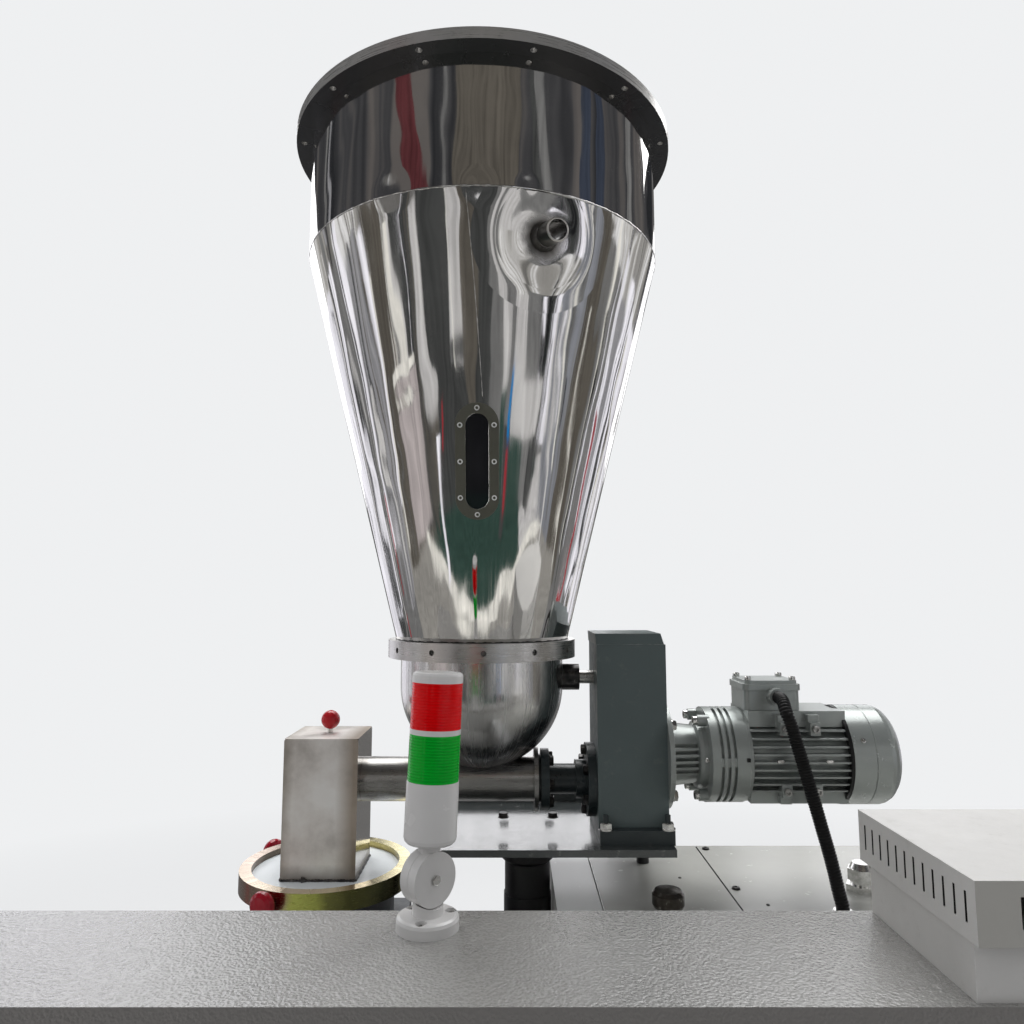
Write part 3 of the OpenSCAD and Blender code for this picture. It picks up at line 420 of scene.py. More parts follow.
def hall():
    """The world: pale to the camera, even light on matt surfaces, and a hall to polished ones."""
    world = bpy.data.worlds.new("hall")
    world.use_nodes = True
    bpy.context.scene.world = world
    tree = world.node_tree
    tree.nodes.clear()
    way = tree.nodes.new("ShaderNodeTexCoord").outputs["Generated"]
    xyz = axes_of(tree, way)
    level = vector_math(tree, "NORMALIZE", vector_math(tree, "MULTIPLY", way, (1, 1, 0)))
    rise = math_node(tree, "ARCSINE", xyz[2])
    coarse = noise(tree, level, 4.0, 2.0, 0.5)
    fine = noise(tree, level, 17.0, 2.0, 0.6)
    bays = plus(tree, times(tree, coarse, 0.72), times(tree, fine, 0.28))
    walls = graded(tree, bays, (0.38, (0.04, 0.04, 0.045)), (0.43, (0.20, 0.195, 0.185)),
                   (0.475, (0.42, 0.41, 0.39)), (0.50, (1.0, 1.0, 1.02)),
                   (0.525, (0.55, 0.54, 0.52)), (0.58, (0.16, 0.155, 0.15)))
    roof = graded(tree, coarse, (0.40, (0.022, 0.023, 0.026)), (0.50, (0.06, 0.06, 0.064)),
                  (0.60, (0.13, 0.12, 0.115)))
    hall_colour = mixed_colour(tree, mapped(tree, rise, 0.42, 0.46, 0.0, 1.0), walls, roof)
    strength = plus(tree, times(tree, xyz[2], 0.27), plus(tree, times(tree, xyz[1], 0.25), 0.38))

    def background(colour, strength=1.0):
        made = node(tree, "ShaderNodeBackground", {"Color": colour, "Strength": strength})
        return made.outputs[0]

    path = tree.nodes.new("ShaderNodeLightPath").outputs
    first = node(tree, "ShaderNodeMixShader", {
        0: path["Is Glossy Ray"], 1: background((0.80, 0.81, 0.83, 1), strength),
        2: background(hall_colour)})
    second = node(tree, "ShaderNodeMixShader", {
        0: path["Is Camera Ray"], 1: first.outputs[0], 2: background((*PALE, 1))})
    world_out = tree.nodes.new("ShaderNodeOutputWorld")
    tree.links.new(second.outputs[0], world_out.inputs["Surface"])


hall()


# Hopper cylinder and rim
# A rolled and welded stainless sheet, polished to a mirror, with a flat ring welded round its
# top that takes a lid or a loader. The sheet is 3 mm thick and the ring is left satin.
def unrolled(tree, centre, size, lengthwise):
    """Coordinates round an upright axis with no seam: place on a ring of that size, and height."""
    moved = object_space(tree, centre=centre)
    ring = vector_math(tree, "NORMALIZE", vector_math(tree, "MULTIPLY", moved, (1, 1, 0)))
    return vector_math(tree, "ADD", vector_math(tree, "MULTIPLY", ring, (size, size, 0)),
                       vector_math(tree, "MULTIPLY", moved, (0, 0, lengthwise)))


def added_bumps(tree, bsdf, *heights):
    """Bump nodes in a chain, from (height, distance) pairs."""
    last = None
    for height, distance in heights:
        made = node(tree, "ShaderNodeBump", {"Height": height, "Distance": distance})
        if last:
            tree.links.new(last.outputs["Normal"], made.inputs["Normal"])
        last = made
    tree.links.new(last.outputs["Normal"], bsdf.inputs["Normal"])


def away_from(tree, centre):
    """How far a point of the piece is from the centre."""
    return vector_math(tree, "LENGTH", object_space(tree, centre=centre))


def dimples(tree, spots):
    """Heights of shallow round dents at (centre, radius, depth) spots."""
    total = None
    for centre, radius, depth in spots:
        away = away_from(tree, centre)
        dent = node(tree, "ShaderNodeMapRange", {
            "Value": away, "From Min": 0.0, "From Max": radius, "To Min": -depth, "To Max": 0.0},
            interpolation_type="SMOOTHSTEP").outputs["Result"]
        total = plus(tree, total, dent) if total else dent
    return total


def polished_stainless(name, centre, size, waves, hairlines, haze, dents=0.0, spots=(),
                       calm=None):
    """Mirror finish with upright polishing streaks round an axis, slow dents and dimples.

    Inside calm, a (centre, radius), the streaks fade out."""
    made, tree, links, bsdf = new_finish(name)
    wide = noise(tree, unrolled(tree, centre, size, 0.03), 34.0, 1.0, 0.4)
    narrow = noise(tree, unrolled(tree, centre, size, 0.015), 260.0, 4.0)
    smears = noise(tree, object_space(tree), 9.0, 5.0, 0.6)
    bsdf.inputs["Metallic"].default_value = 1.0
    colour = graded(tree, smears, (0.35, (0.70, 0.69, 0.68)), (0.65, (0.80, 0.79, 0.77)))
    links.new(colour, bsdf.inputs["Base Color"])
    rough = plus(tree, mapped(tree, narrow, 0.35, 0.75, haze * 0.5, haze * 1.4),
                 mapped(tree, smears, 0.5, 0.8, 0.0, haze * 0.6))
    links.new(rough, bsdf.inputs["Roughness"])
    slow = noise(tree, object_space(tree, (1.0, 1.0, 0.7)), 8.0, 1.0, 0.4, 0.6)
    if calm:
        outside = mapped(tree, away_from(tree, calm[0]), calm[1] * 0.85, calm[1] * 1.25, 0.12, 1.0)
        wide, narrow, slow = (times(tree, height, outside) for height in (wide, narrow, slow))
    heights = [(slow, dents), (wide, waves), (narrow, hairlines)]
    if spots:
        heights.insert(0, (dimples(tree, spots), 1.0))
    added_bumps(tree, bsdf, *heights)
    return made


def object_from(name, shape, *materials, angle=32):
    """An object from a bmesh, smooth but for corners sharper than the angle."""
    bmesh.ops.recalc_face_normals(shape, faces=shape.faces)
    mesh = bpy.data.meshes.new(name)
    shape.to_mesh(mesh)
    shape.free()
    mesh.set_sharp_from_angle(angle=math.radians(angle))
    for material in materials:
        mesh.materials.append(material)
    made = bpy.data.objects.new(name, mesh)
    collection.objects.link(made)
    return made


def lathe(name, profile, centre, material, steps=192, closed=True, axis="Z"):
    """Turns (radius, height) points round an axis through centre, smooth but for sharp corners."""
    shape = bmesh.new()
    rings = []
    for r, h in profile:
        if r < 1e-6:
            rings.append([shape.verts.new((0, 0, h))])
            continue
        rings.append([shape.verts.new((x, y, h)) for x, y in circle(r, steps)])
    pairs = list(zip(rings, rings[1:])) + ([(rings[-1], rings[0])] if closed else [])
    for low, high in pairs:
        for k in range(steps):
            quad = [low[k % len(low)], low[(k + 1) % steps % len(low)],
                    high[(k + 1) % steps % len(high)], high[k % len(high)]]
            corners = list(dict.fromkeys(quad))
            if len(corners) > 2:
                shape.faces.new(corners)
    turn = {"Z": Matrix.Identity(4), "X": Matrix.Rotation(math.pi / 2, 4, "Y")}[axis]
    shape.transform(Matrix.Translation(centre) @ turn)
    return object_from(name, shape, material)


def dress(material, *names):
    """Gives CAD nodes their finish."""
    for name in names:
        for holder in nodes[name].material_slots:
            holder.material = material


def stands_for(piece, slot, *names, body="station"):
    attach(piece, body)
    if names:
        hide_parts(*names)
    return piece


drum_low, drum_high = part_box("hopper_cylinder")
HOPPER = Vector(((drum_low.x + drum_high.x) / 2, (drum_low.y + drum_high.y) / 2, 0))
DRUM_R = (drum_high.x - drum_low.x) / 2
SHEET = 0.003
SEAM_FRONT = Vector((HOPPER.x + 0.004, HOPPER.y - DRUM_R, drum_low.z))
SEAM_DENTS = [(SEAM_FRONT, 0.030, 0.0012),
              (SEAM_FRONT + Vector((0.062, 0.007, 0.004)), 0.020, 0.0006),
              (SEAM_FRONT + Vector((-0.115, 0.025, 0.006)), 0.034, 0.0010)]
mirror_drum = polished_stainless("mirror_drum", HOPPER, DRUM_R, 0.0004, 0.000008, 0.06, 0.003,
                                 SEAM_DENTS)
drum = lathe("hopper_drum", [(DRUM_R, drum_low.z), (DRUM_R, drum_high.z),
                             (DRUM_R - SHEET, drum_high.z), (DRUM_R - SHEET, drum_low.z)],
             HOPPER, mirror_drum, steps=256)
stands_for(drum, "mirror_stainless", "hopper_cylinder")


def satin_stainless(name, centre=None, size=0.15, tone=0.62, grain=(1.0, 1.0, 1.0), cut=0.00004):
    """Brushed finish: fine lines round an upright axis, or along the way that grain leaves."""
    made, tree, links, bsdf = new_finish(name)
    lines = noise(tree, object_space(tree, grain) if centre is None
                  else unrolled(tree, centre, size * 0.02, 1.0), 700.0, 5.0, 0.65)
    cloud = noise(tree, object_space(tree), 14.0, 5.0, 0.6)
    bsdf.inputs["Metallic"].default_value = 1.0
    colour = graded(tree, cloud, (0.30, (tone * 0.86, tone * 0.84, tone * 0.80)),
                    (0.70, (tone * 1.10, tone * 1.08, tone * 1.05)))
    links.new(colour, bsdf.inputs["Base Color"])
    links.new(plus(tree, mapped(tree, lines, 0.3, 0.7, 0.20, 0.34),
                   mapped(tree, cloud, 0.4, 0.7, 0.0, 0.08)), bsdf.inputs["Roughness"])
    added_bumps(tree, bsdf, (lines, cut))
    return made


def facing(tree, kind="True Normal"):
    """The X, Y and Z of the way that the surface faces."""
    return axes_of(tree, tree.nodes.new("ShaderNodeNewGeometry").outputs[kind])


def repaint(tree, bsdf, mask, colour):
    """Changes the base colour to another one where the mask is 1."""
    plain = bsdf.inputs["Base Color"].links[0].from_socket
    tree.links.new(mixed_colour(tree, mask, plain, colour), bsdf.inputs["Base Color"])


def rim_steel():
    """Satin edge and top, with painted shade on the faces underneath."""
    made = satin_stainless("rim_steel", HOPPER, DRUM_R, 0.46)
    tree, _, bsdf = nodes_of(made)
    # Painted shade: faces turned downwards are darkened.
    shaded_under = mapped(tree, facing(tree, "Normal")[2], -0.3, -0.7, 0.0, 1.0)
    repaint(tree, bsdf, shaded_under, (0.040, 0.040, 0.042))
    bsdf.inputs["Metallic"].default_value = 0.55
    return made


dress(rim_steel(), "hopper_rim")


# Hopper cone
# The cone is rolled from one sheet and mirror polished along its length, which leaves upright
# ripples. Welding the pipe stub on has drawn the wall in round it, in a shallow dish.
UPWARDS = Vector((0, 0, 1))
CONE_FOOT_Z, CONE_TOP_Z = 1.451, drum_low.z
CONE_FOOT_R, CONE_TOP_R = 0.131, DRUM_R
STUB_TURN = math.radians(20)
RIPPLE_WIDE, RIPPLE_FINE, CONE_SKIN, EDGE_FADE = 0.00022, 0.00012, 0.0002, 0.03
STUB_Z, STUB_R, STUB_BORE, STUB_LEN = 1.979, 0.015, 0.012, 0.042
DISH_FLAT, DISH_R, DISH_DEPTH = 0.030, 0.078, 0.0046
CONE_TILT = math.atan((CONE_TOP_R - CONE_FOOT_R) / (CONE_TOP_Z - CONE_FOOT_Z))
SIGHT_Z, SIGHT_H, WINDOW_W, WINDOW_H = 1.693, 0.155, 0.031, 0.127


def cone_radius(z):
    return CONE_FOOT_R + (z - CONE_FOOT_Z) * math.tan(CONE_TILT)


def on_cone(turn, z):
    """Where the wall's point at that turn from the front and height is, with +Z outwards."""
    r = cone_radius(z)
    return (Matrix.Translation((HOPPER.x, HOPPER.y, z)) @ Matrix.Rotation(turn, 4, "Z")
            @ Matrix.Translation((0, -r, 0)) @ Matrix.Rotation(math.pi / 2 + CONE_TILT, 4, "X"))


STUB_PLACE = on_cone(STUB_TURN, STUB_Z)


def cone_point(turn, z, inset=0.0):
    """A point of the wall, with the welded dish and slow ripples in it, or one inside the wall."""
    r = cone_radius(z)
    ripple = RIPPLE_WIDE * math.sin(9 * turn + 2.0 * math.sin(3 * z)) * math.sin(7 * z + turn)
    ripple += RIPPLE_FINE * math.sin(31 * turn + 3.0 * math.sin(5 * z))
    p = Vector((HOPPER.x + math.sin(turn) * r, HOPPER.y - math.cos(turn) * r, z))
    away = (p - STUB_PLACE.translation).length
    inward = min(1.0, max(0.0, (DISH_R - away) / (DISH_R - DISH_FLAT)))
    dish = DISH_DEPTH * inward * inward * (3 - 2 * inward)
    out = Vector((math.sin(turn) * math.cos(CONE_TILT), -math.cos(turn) * math.cos(CONE_TILT),
                  -math.sin(CONE_TILT)))
    fade = min(1.0, (z - CONE_FOOT_Z) / EDGE_FADE, (CONE_TOP_Z - z) / EDGE_FADE)
    return p + out * (ripple * max(0.0, fade) - dish - inset - CONE_SKIN)


def cone_normal(turn, z):
    dt, dz = 0.004, 0.001
    along = cone_point(turn + dt, z) - cone_point(turn - dt, z)
    up = cone_point(turn, min(z + dz, CONE_TOP_Z)) - cone_point(turn, max(z - dz, CONE_FOOT_Z))
    return along.cross(up).normalized()


def plain_mesh(obj):
    """The object's mesh with its modifiers applied."""
    bpy.context.view_layer.update()
    found = obj.evaluated_get(bpy.context.evaluated_depsgraph_get())
    made = bpy.data.meshes.new_from_object(found)
    obj.modifiers.clear()
    obj.data = made
    return obj


def cut_away(obj, cutter):
    made = obj.modifiers.new("cut", "BOOLEAN")
    made.operation, made.solver, made.object = "DIFFERENCE", "EXACT", cutter
    plain_mesh(obj)
    bpy.data.objects.remove(cutter)


def obround_points(width, height, steps=16):
    reach = (height - width) / 2
    return [(width / 2 * math.cos(a), (reach if math.sin(a) >= 0 else -reach)
             + width / 2 * math.sin(a))
            for a in (math.pi * (k + 0.5) / steps for k in range(2 * steps))]


def prism(name, outline, low, high, place, material):
    """An outline between two heights, as a closed mesh set at place."""
    n = len(outline)
    verts = [place @ Vector((x, y, h)) for h in (low, high) for x, y in outline]
    faces = [tuple(range(n))[::-1], tuple(range(n, 2 * n))]
    faces += [(k, (k + 1) % n, n + (k + 1) % n, n + k) for k in range(n)]
    return new_mesh_object(name, verts, faces, material, smooth=False)


def heat_tint(material, centre):
    """Dulls and browns the polish round a weld."""
    tree, links, bsdf = nodes_of(material)
    uneven = plus(tree, away_from(tree, centre),
                  times(tree, noise(tree, object_space(tree), 45.0, 3.0), 0.016))
    tint = mapped(tree, uneven, 0.026, 0.044, 1.0, 0.0)
    repaint(tree, bsdf, tint, (0.13, 0.12, 0.11))
    smooth = bsdf.inputs["Roughness"].links[0].from_socket
    links.new(plus(tree, smooth, times(tree, tint, 0.45)), bsdf.inputs["Roughness"])


def rolled_cone():
    """The cone's wall with its openings, and normals worked out from its shape."""
    around, rows = 400, 140
    heights = [CONE_FOOT_Z + (CONE_TOP_Z - CONE_FOOT_Z) * k / rows for k in range(rows + 1)]
    turns = [2 * math.pi * k / around + 0.003 for k in range(around)]
    verts = [cone_point(t, z) for z in heights for t in turns]
    inner = heights[::-2]
    verts += [cone_point(t, z, SHEET) for z in inner for t in turns]
    total = len(heights) + len(inner)
    faces = []
    for i in range(total):
        for k in range(around):
            a, b = i * around, (i + 1) % total * around
            faces.append((a + k, a + (k + 1) % around, b + (k + 1) % around, b + k))
    mirror_cone = polished_stainless("mirror_cone", HOPPER, 0.22, 0.0007, 0.000010, 0.07, 0.0026,
                                     SEAM_DENTS, (STUB_PLACE.translation, DISH_R))
    heat_tint(mirror_cone, STUB_PLACE.translation)
    made = new_mesh_object("rolled_cone", verts, faces, mirror_cone)
    cut_away(made, prism("sight_cut", obround_points(WINDOW_W, WINDOW_H), -0.02, 0.02,
                         on_cone(0, SIGHT_Z), mirror_cone))
    cut_away(made, prism("stub_cut", circle(STUB_BORE, 32), -0.02, 0.02, STUB_PLACE, mirror_cone))
    mesh = made.data
    normals = [None] * len(mesh.loops)
    exact = {}
    for face in mesh.polygons:
        centre = face.center - HOPPER
        turn = math.atan2(centre.x, -centre.y)
        out = cone_normal(turn, min(max(centre.z, CONE_FOOT_Z), CONE_TOP_Z))
        side = face.normal.dot(out)
        for loop in face.loop_indices:
            i = mesh.loops[loop].vertex_index
            if abs(side) < 0.9:
                normals[loop] = face.normal
                continue
            if i not in exact:
                p = mesh.vertices[i].co - HOPPER
                exact[i] = cone_normal(math.atan2(p.x, -p.y),
                                       min(max(p.z, CONE_FOOT_Z), CONE_TOP_Z))
            normals[loop] = exact[i] if side > 0 else -exact[i]
    mesh.normals_split_custom_set([tuple(n) for n in normals])
    return made


cone = stands_for(rolled_cone(), "mirror_stainless", "hopper_cone")


def turned_on(name, profile, place, material, steps=48):
    """A lathe piece whose axis is place's +Z."""
    made = lathe(name, profile, (0, 0, 0), material, steps=steps)
    made.data.transform(place)
    return made


def bored_steel():
    """Dull pipe with a brighter faced rim and painted shade in its bore."""
    made = satin_stainless("stub_steel", None, tone=0.13)
    tree, _, bsdf = nodes_of(made)
    place = object_space(tree, centre=STUB_PLACE.translation)
    height = vector_math(tree, "DOT_PRODUCT", place, STUB_PLACE.to_3x3() @ UPWARDS)
    length = vector_math(tree, "LENGTH", place)
    off_axis = math_node(tree, "SQRT", math_node(
        tree, "SUBTRACT", times(tree, length, length), times(tree, height, height)))
    faced = mapped(tree, height, STUB_LEN - 0.0012, STUB_LEN - 0.0006, 0.0, 1.0)
    repaint(tree, bsdf, faced, (0.72, 0.70, 0.67))
    # Painted shade: the inside of the bore is darkened.
    inside = mapped(tree, off_axis, STUB_BORE + 0.0008, STUB_BORE + 0.0003, 0.0, 1.0)
    repaint(tree, bsdf, inside, (0.03, 0.027, 0.025))
    return made


stub_steel = bored_steel()
stub = turned_on("pipe_stub", [(STUB_R, -0.006), (STUB_R, STUB_LEN - 0.0008),
                               (STUB_R - 0.0014, STUB_LEN), (STUB_BORE + 0.0006, STUB_LEN),
                               (STUB_BORE, STUB_LEN - 0.0006), (STUB_BORE, -0.006)],
                 STUB_PLACE, stub_steel)
stands_for(stub, "brushed_stainless")
stub_weld = turned_on("stub_weld", [(STUB_R - 0.001, -0.0060), (STUB_R + 0.0042, -0.0058),
                                    (STUB_R + 0.0038, -0.0020), (STUB_R + 0.0026, 0.0050),
                                    (STUB_R + 0.0012, 0.0085), (STUB_R - 0.001, 0.0095)],
                      STUB_PLACE, stub_steel)
stands_for(stub_weld, "brushed_stainless")


def weld_bead(name, centre, radius, z, width, lumps, material):
    """A dressed weld round a seam: a low ridge with a slightly uneven edge."""
    steps, verts, faces = 360, [], []
    section = [(-0.5, 0.0), (-0.25, 0.7), (0.0, 1.0), (0.25, 0.7), (0.5, 0.0)]
    for k in range(steps):
        a = 2 * math.pi * k / steps
        swell = 1 + 0.25 * math.sin(lumps * a) + 0.15 * math.sin(2.6 * lumps * a + 1)
        for across, proud in section:
            r = radius - 0.0004 + proud * 0.0009 * swell
            verts.append((centre.x + r * math.cos(a), centre.y + r * math.sin(a),
                          z + across * width * swell))
    n = len(section)
    for k in range(steps):
        for j in range(n - 1):
            a, b = k * n + j, (k + 1) % steps * n + j
            faces.append((a, b, b + 1, a + 1))
        faces.append((k * n, k * n + n - 1, (k + 1) % steps * n + n - 1, (k + 1) % steps * n))
    return new_mesh_object(name, verts, faces, material)


seam = weld_bead("hopper_seam", HOPPER, DRUM_R, CONE_TOP_Z, 0.0030, 61, mirror_drum)
stands_for(seam, "mirror_stainless")


def upright_weld(name, spots, width, material):
    """The ground weld that closes a rolled sheet: an uneven ridge through (point, out) spots."""
    section = [(-0.5, -0.3), (-0.25, 0.6), (0.0, 1.0), (0.25, 0.6), (0.5, -0.3)]
    n, verts, faces = len(section), [], []
    for k, (p, out) in enumerate(spots):
        swell = 1 + 0.30 * math.sin(1.9 * k) + 0.22 * math.sin(0.61 * k + 1)
        side = Vector((-out.y, out.x, 0)).normalized()
        verts += [p + side * across * width * swell + out * proud * width * 0.2 * swell
                  for across, proud in section]
    for k in range(len(spots) - 1):
        for j in range(n):
            a, b = k * n + j, k * n + (j + 1) % n
            faces.append((a, b, b + n, a + n))
    last = (len(spots) - 1) * n
    faces += [tuple(range(n))[::-1], tuple(last + j for j in range(n))]
    return stands_for(new_mesh_object(name, verts, faces, material), "mirror_stainless")


WELD_STEP = 0.004
drum_seam = [(Vector((HOPPER.x, HOPPER.y + DRUM_R, drum_low.z + 0.003 + WELD_STEP * k)),
              Vector((0, 1, 0))) for k in range(44)]
upright_weld("drum_seam", drum_seam, 0.0024, mirror_drum)
SIGHT_TOP = SIGHT_Z + SIGHT_H / 2 + 0.004
cone_seam = []
for k in range(64):
    turn, z = 0.035 - 0.0013 * k, SIGHT_TOP + WELD_STEP * k
    cone_seam.append((cone_point(turn, z) - cone_normal(turn, z) * 0.0001, cone_normal(turn, z)))
upright_weld("cone_seam", cone_seam, 0.0012, cone.data.materials[0])
# The bead round the cone's foot is coloured almost black: painted shade in the joint between cone
# and flange.
foot_weld = weld_bead("cone_foot_weld", HOPPER, CONE_FOOT_R, CONE_FOOT_Z + 0.0008, 0.0042, 41,
                      satin_stainless("foot_joint_shade", HOPPER, CONE_FOOT_R, 0.06))
stands_for(foot_weld, "brushed_stainless")


# Sight glass
# A clear plastic strip under a brushed plate, held on the cone by eight small socket screws, so
# that the level of the granulate shows.
def set_values(bsdf, values):
    for name, value in values.items():
        bsdf.inputs[name].default_value = value


# The clear strip is coloured near black: painted shade of the hopper's inside, seen through it.
def shaded_glass():
    made, tree, links, bsdf = new_finish("shaded_glass")
    smear = noise(tree, object_space(tree, (1, 1, 0.3)), 40.0, 4.0)
    colour = graded(tree, smear, (0.3, (0.006, 0.006, 0.008)), (0.7, (0.014, 0.014, 0.017)))
    links.new(colour, bsdf.inputs["Base Color"])
    links.new(mapped(tree, smear, 0.3, 0.7, 0.06, 0.14), bsdf.inputs["Roughness"])
    set_values(bsdf, {"Coat Weight": 1.0, "Coat Roughness": 0.03})
    return made


dress(shaded_glass(), "sight_glass")


def worn_paint(name, colour, speck, gloss=0.38, peel=0.00010, peel_scale=420.0, edge=None,
               metal=0.0, edge_width=0.0009, uneven=0.06, grime=1.0):
    """Sprayed enamel with a fine orange peel, dusty patches and rubbed corners."""
    made, tree, links, bsdf = new_finish(name)
    where = object_space(tree)
    cloud = noise(tree, where, 7.0, 6.0, 0.62)
    dust = noise(tree, where, 55.0, 8.0, 0.7)
    base = graded(tree, cloud, (0.30, [c * (1 - uneven) for c in colour]),
                  (0.70, [c * (1 + uneven) for c in colour]))
    dusty = mixed_colour(tree, mapped(tree, dust, 0.58, 0.80, 0.0, 0.55 * grime), base, speck)
    rounded = node(tree, "ShaderNodeBevel", {"Radius": edge_width}, samples=4).outputs[0]
    flat = tree.nodes.new("ShaderNodeNewGeometry").outputs["Normal"]
    bent = vector_math(tree, "DOT_PRODUCT", rounded, flat)
    rubbed = times(tree, mapped(tree, bent, 0.97, 0.80, 0.0, 1.0),
                   mapped(tree, dust, 0.40, 0.62, 0.0, 1.0))
    bare = edge or [min(1.0, c * 1.5 + 0.10) for c in colour]
    links.new(mixed_colour(tree, rubbed, dusty, bare), bsdf.inputs["Base Color"])
    bsdf.inputs["Metallic"].default_value = metal
    links.new(mapped(tree, dust, 0.35, 0.75, gloss * (1 - 0.15 * grime), gloss * (1 + 0.5 * grime)),
              bsdf.inputs["Roughness"])
    skin = node(tree, "ShaderNodeBump", {"Height": noise(tree, where, peel_scale, 2.0),
                                         "Distance": peel, "Normal": rounded})
    links.new(skin.outputs["Normal"], bsdf.inputs["Normal"])
    return made


sight_steel = worn_paint("sight_steel", (0.15, 0.148, 0.120), (0.20, 0.20, 0.18), gloss=0.34,
                         peel=0.00002, metal=0.5, edge=(0.30, 0.30, 0.27), uneven=0.04)
dress(sight_steel, "sight_frame")


def head_shape(name, rings, sides=24, socket=None, socket_sides=6):
    """A screw head as a mesh standing on z = 0: (radius, height) rings and an optional socket."""
    shape = bmesh.new()

    def ring(r, h, n):
        return [shape.verts.new((x, y, h)) for x, y in circle(r, n)]

    loops = [ring(r, h, sides) for r, h in rings]
    for low, high in zip(loops, loops[1:]):
        for k in range(sides):
            shape.faces.new([low[k], low[(k + 1) % sides], high[(k + 1) % sides], high[k]])
    shape.faces.new(loops[0][::-1])
    if socket:
        (radius, depth), top = socket, rings[-1][1]
        mouth = ring(radius, top, socket_sides)
        floor_ring = ring(radius, top - depth, socket_sides)
        edges = [shape.edges.get((loops[-1][k], loops[-1][(k + 1) % sides]))
                 for k in range(sides)]
        edges += [shape.edges.new((mouth[k], mouth[(k + 1) % socket_sides]))
                  for k in range(socket_sides)]
        bmesh.ops.triangle_fill(shape, edges=edges, use_beauty=True)
        for k in range(socket_sides):
            shape.faces.new([mouth[k], mouth[(k + 1) % socket_sides],
                             floor_ring[(k + 1) % socket_sides], floor_ring[k]])
        shape.faces.new(floor_ring)
    else:
        shape.faces.new(loops[-1])
    made = object_from(name, shape)
    made.hide_render = True
    return made


def fastener_tree():
    """Geometry Nodes that set a head on each point, along the point's way, turned at random."""
    tree = bpy.data.node_groups.new("set_fasteners", "GeometryNodeTree")
    for name, way, kind in (("Geometry", "INPUT", "Geometry"), ("Head", "INPUT", "Object"),
                            ("Finish", "INPUT", "Material"), ("Size", "INPUT", "Float"),
                            ("Geometry", "OUTPUT", "Geometry")):
        tree.interface.new_socket(name, in_out=way, socket_type="NodeSocket" + kind)
    start = tree.nodes.new("NodeGroupInput").outputs
    end = tree.nodes.new("NodeGroupOutput").inputs
    way = node(tree, "GeometryNodeInputNamedAttribute", {"Name": "way"},
               data_type="FLOAT_VECTOR").outputs[0]
    turn = node(tree, "FunctionNodeRandomValue", {"Seed": 7, 2: 0.0, 3: 2 * math.pi},
                data_type="FLOAT")
    spun = node(tree, "ShaderNodeCombineXYZ", {2: turn.outputs[1]})
    lean = node(tree, "FunctionNodeAlignRotationToVector", {"Vector": way}, axis="Z")
    spin = node(tree, "FunctionNodeRotateRotation", {0: lean.outputs[0], 1: spun.outputs[0]},
                rotation_space="LOCAL")
    head = node(tree, "GeometryNodeObjectInfo", {"Object": start["Head"]})
    placed = node(tree, "GeometryNodeInstanceOnPoints", {
        "Points": start["Geometry"], "Instance": head.outputs["Geometry"],
        "Rotation": spin.outputs[0], "Scale": start["Size"]})
    real = node(tree, "GeometryNodeRealizeInstances", {"Geometry": placed.outputs[0]})
    done = node(tree, "GeometryNodeSetMaterial", {"Geometry": real.outputs[0],
                                                  "Material": start["Finish"]})
    tree.links.new(done.outputs[0], end[0])
    return tree


SET_FASTENERS = fastener_tree()


def set_fasteners(name, head, spots, finish, slot, size=1.0, body="station"):
    """Heads at (point, way) spots, as one mesh on one body."""
    mesh = bpy.data.meshes.new(name)
    mesh.from_pydata([tuple(p) for p, _ in spots], [], [])
    ways = mesh.attributes.new("way", "FLOAT_VECTOR", "POINT")
    for i, (_, way) in enumerate(spots):
        ways.data[i].vector = tuple(way)
    made = bpy.data.objects.new(name, mesh)
    collection.objects.link(made)
    setter = made.modifiers.new("set", "NODES")
    setter.node_group = SET_FASTENERS
    values = {"Head": head, "Finish": finish, "Size": size}
    for item in SET_FASTENERS.interface.items_tree:
        if item.in_out == "INPUT" and item.name in values:
            setter[item.identifier] = values[item.name]
    plain_mesh(made)
    made.data.attributes.remove(made.data.attributes["way"])
    stands_for(made, slot, body=body)


def bright_steel(name="bright_steel", tone=0.60, rough=0.28):
    made, tree, links, bsdf = new_finish(name)
    wear = noise(tree, object_space(tree), 160.0, 5.0, 0.6)
    bsdf.inputs["Metallic"].default_value = 1.0
    colour = graded(tree, wear, (0.30, (tone * 0.7, tone * 0.69, tone * 0.66)),
                    (0.62, (tone * 1.1, tone * 1.1, tone * 1.08)))
    links.new(colour, bsdf.inputs["Base Color"])
    links.new(mapped(tree, wear, 0.3, 0.7, rough * 1.4, rough * 0.8), bsdf.inputs["Roughness"])
    bump(tree, bsdf, wear, 0.00005)
    return made


ring_screw = bright_steel("ring_screw", 0.90, 0.45)
nodes_of(ring_screw)[2].inputs["Metallic"].default_value = 0.3
SIGHT_FACE, SINK = 0.005, 0.0002
sight_place = on_cone(0, SIGHT_Z)
open_screw = head_shape("open_screw", [(0.0034, 0.0), (0.0036, 0.0010), (0.0033, 0.0019),
                                       (0.0027, 0.0022)], socket=(0.0021, 0.0021))
sight_spots = [(0, 0.0705), (0, -0.0705)] + [(s * 0.0225, y) for s in (-1, 1)
                                             for y in (-0.048, 0, 0.048)]
outwards = sight_place.to_3x3() @ UPWARDS
set_fasteners("sight_screws", open_screw,
              [(sight_place @ Vector((x, y, SIGHT_FACE - SINK)), outwards)
               for x, y in sight_spots], ring_screw, "zinc_steel")


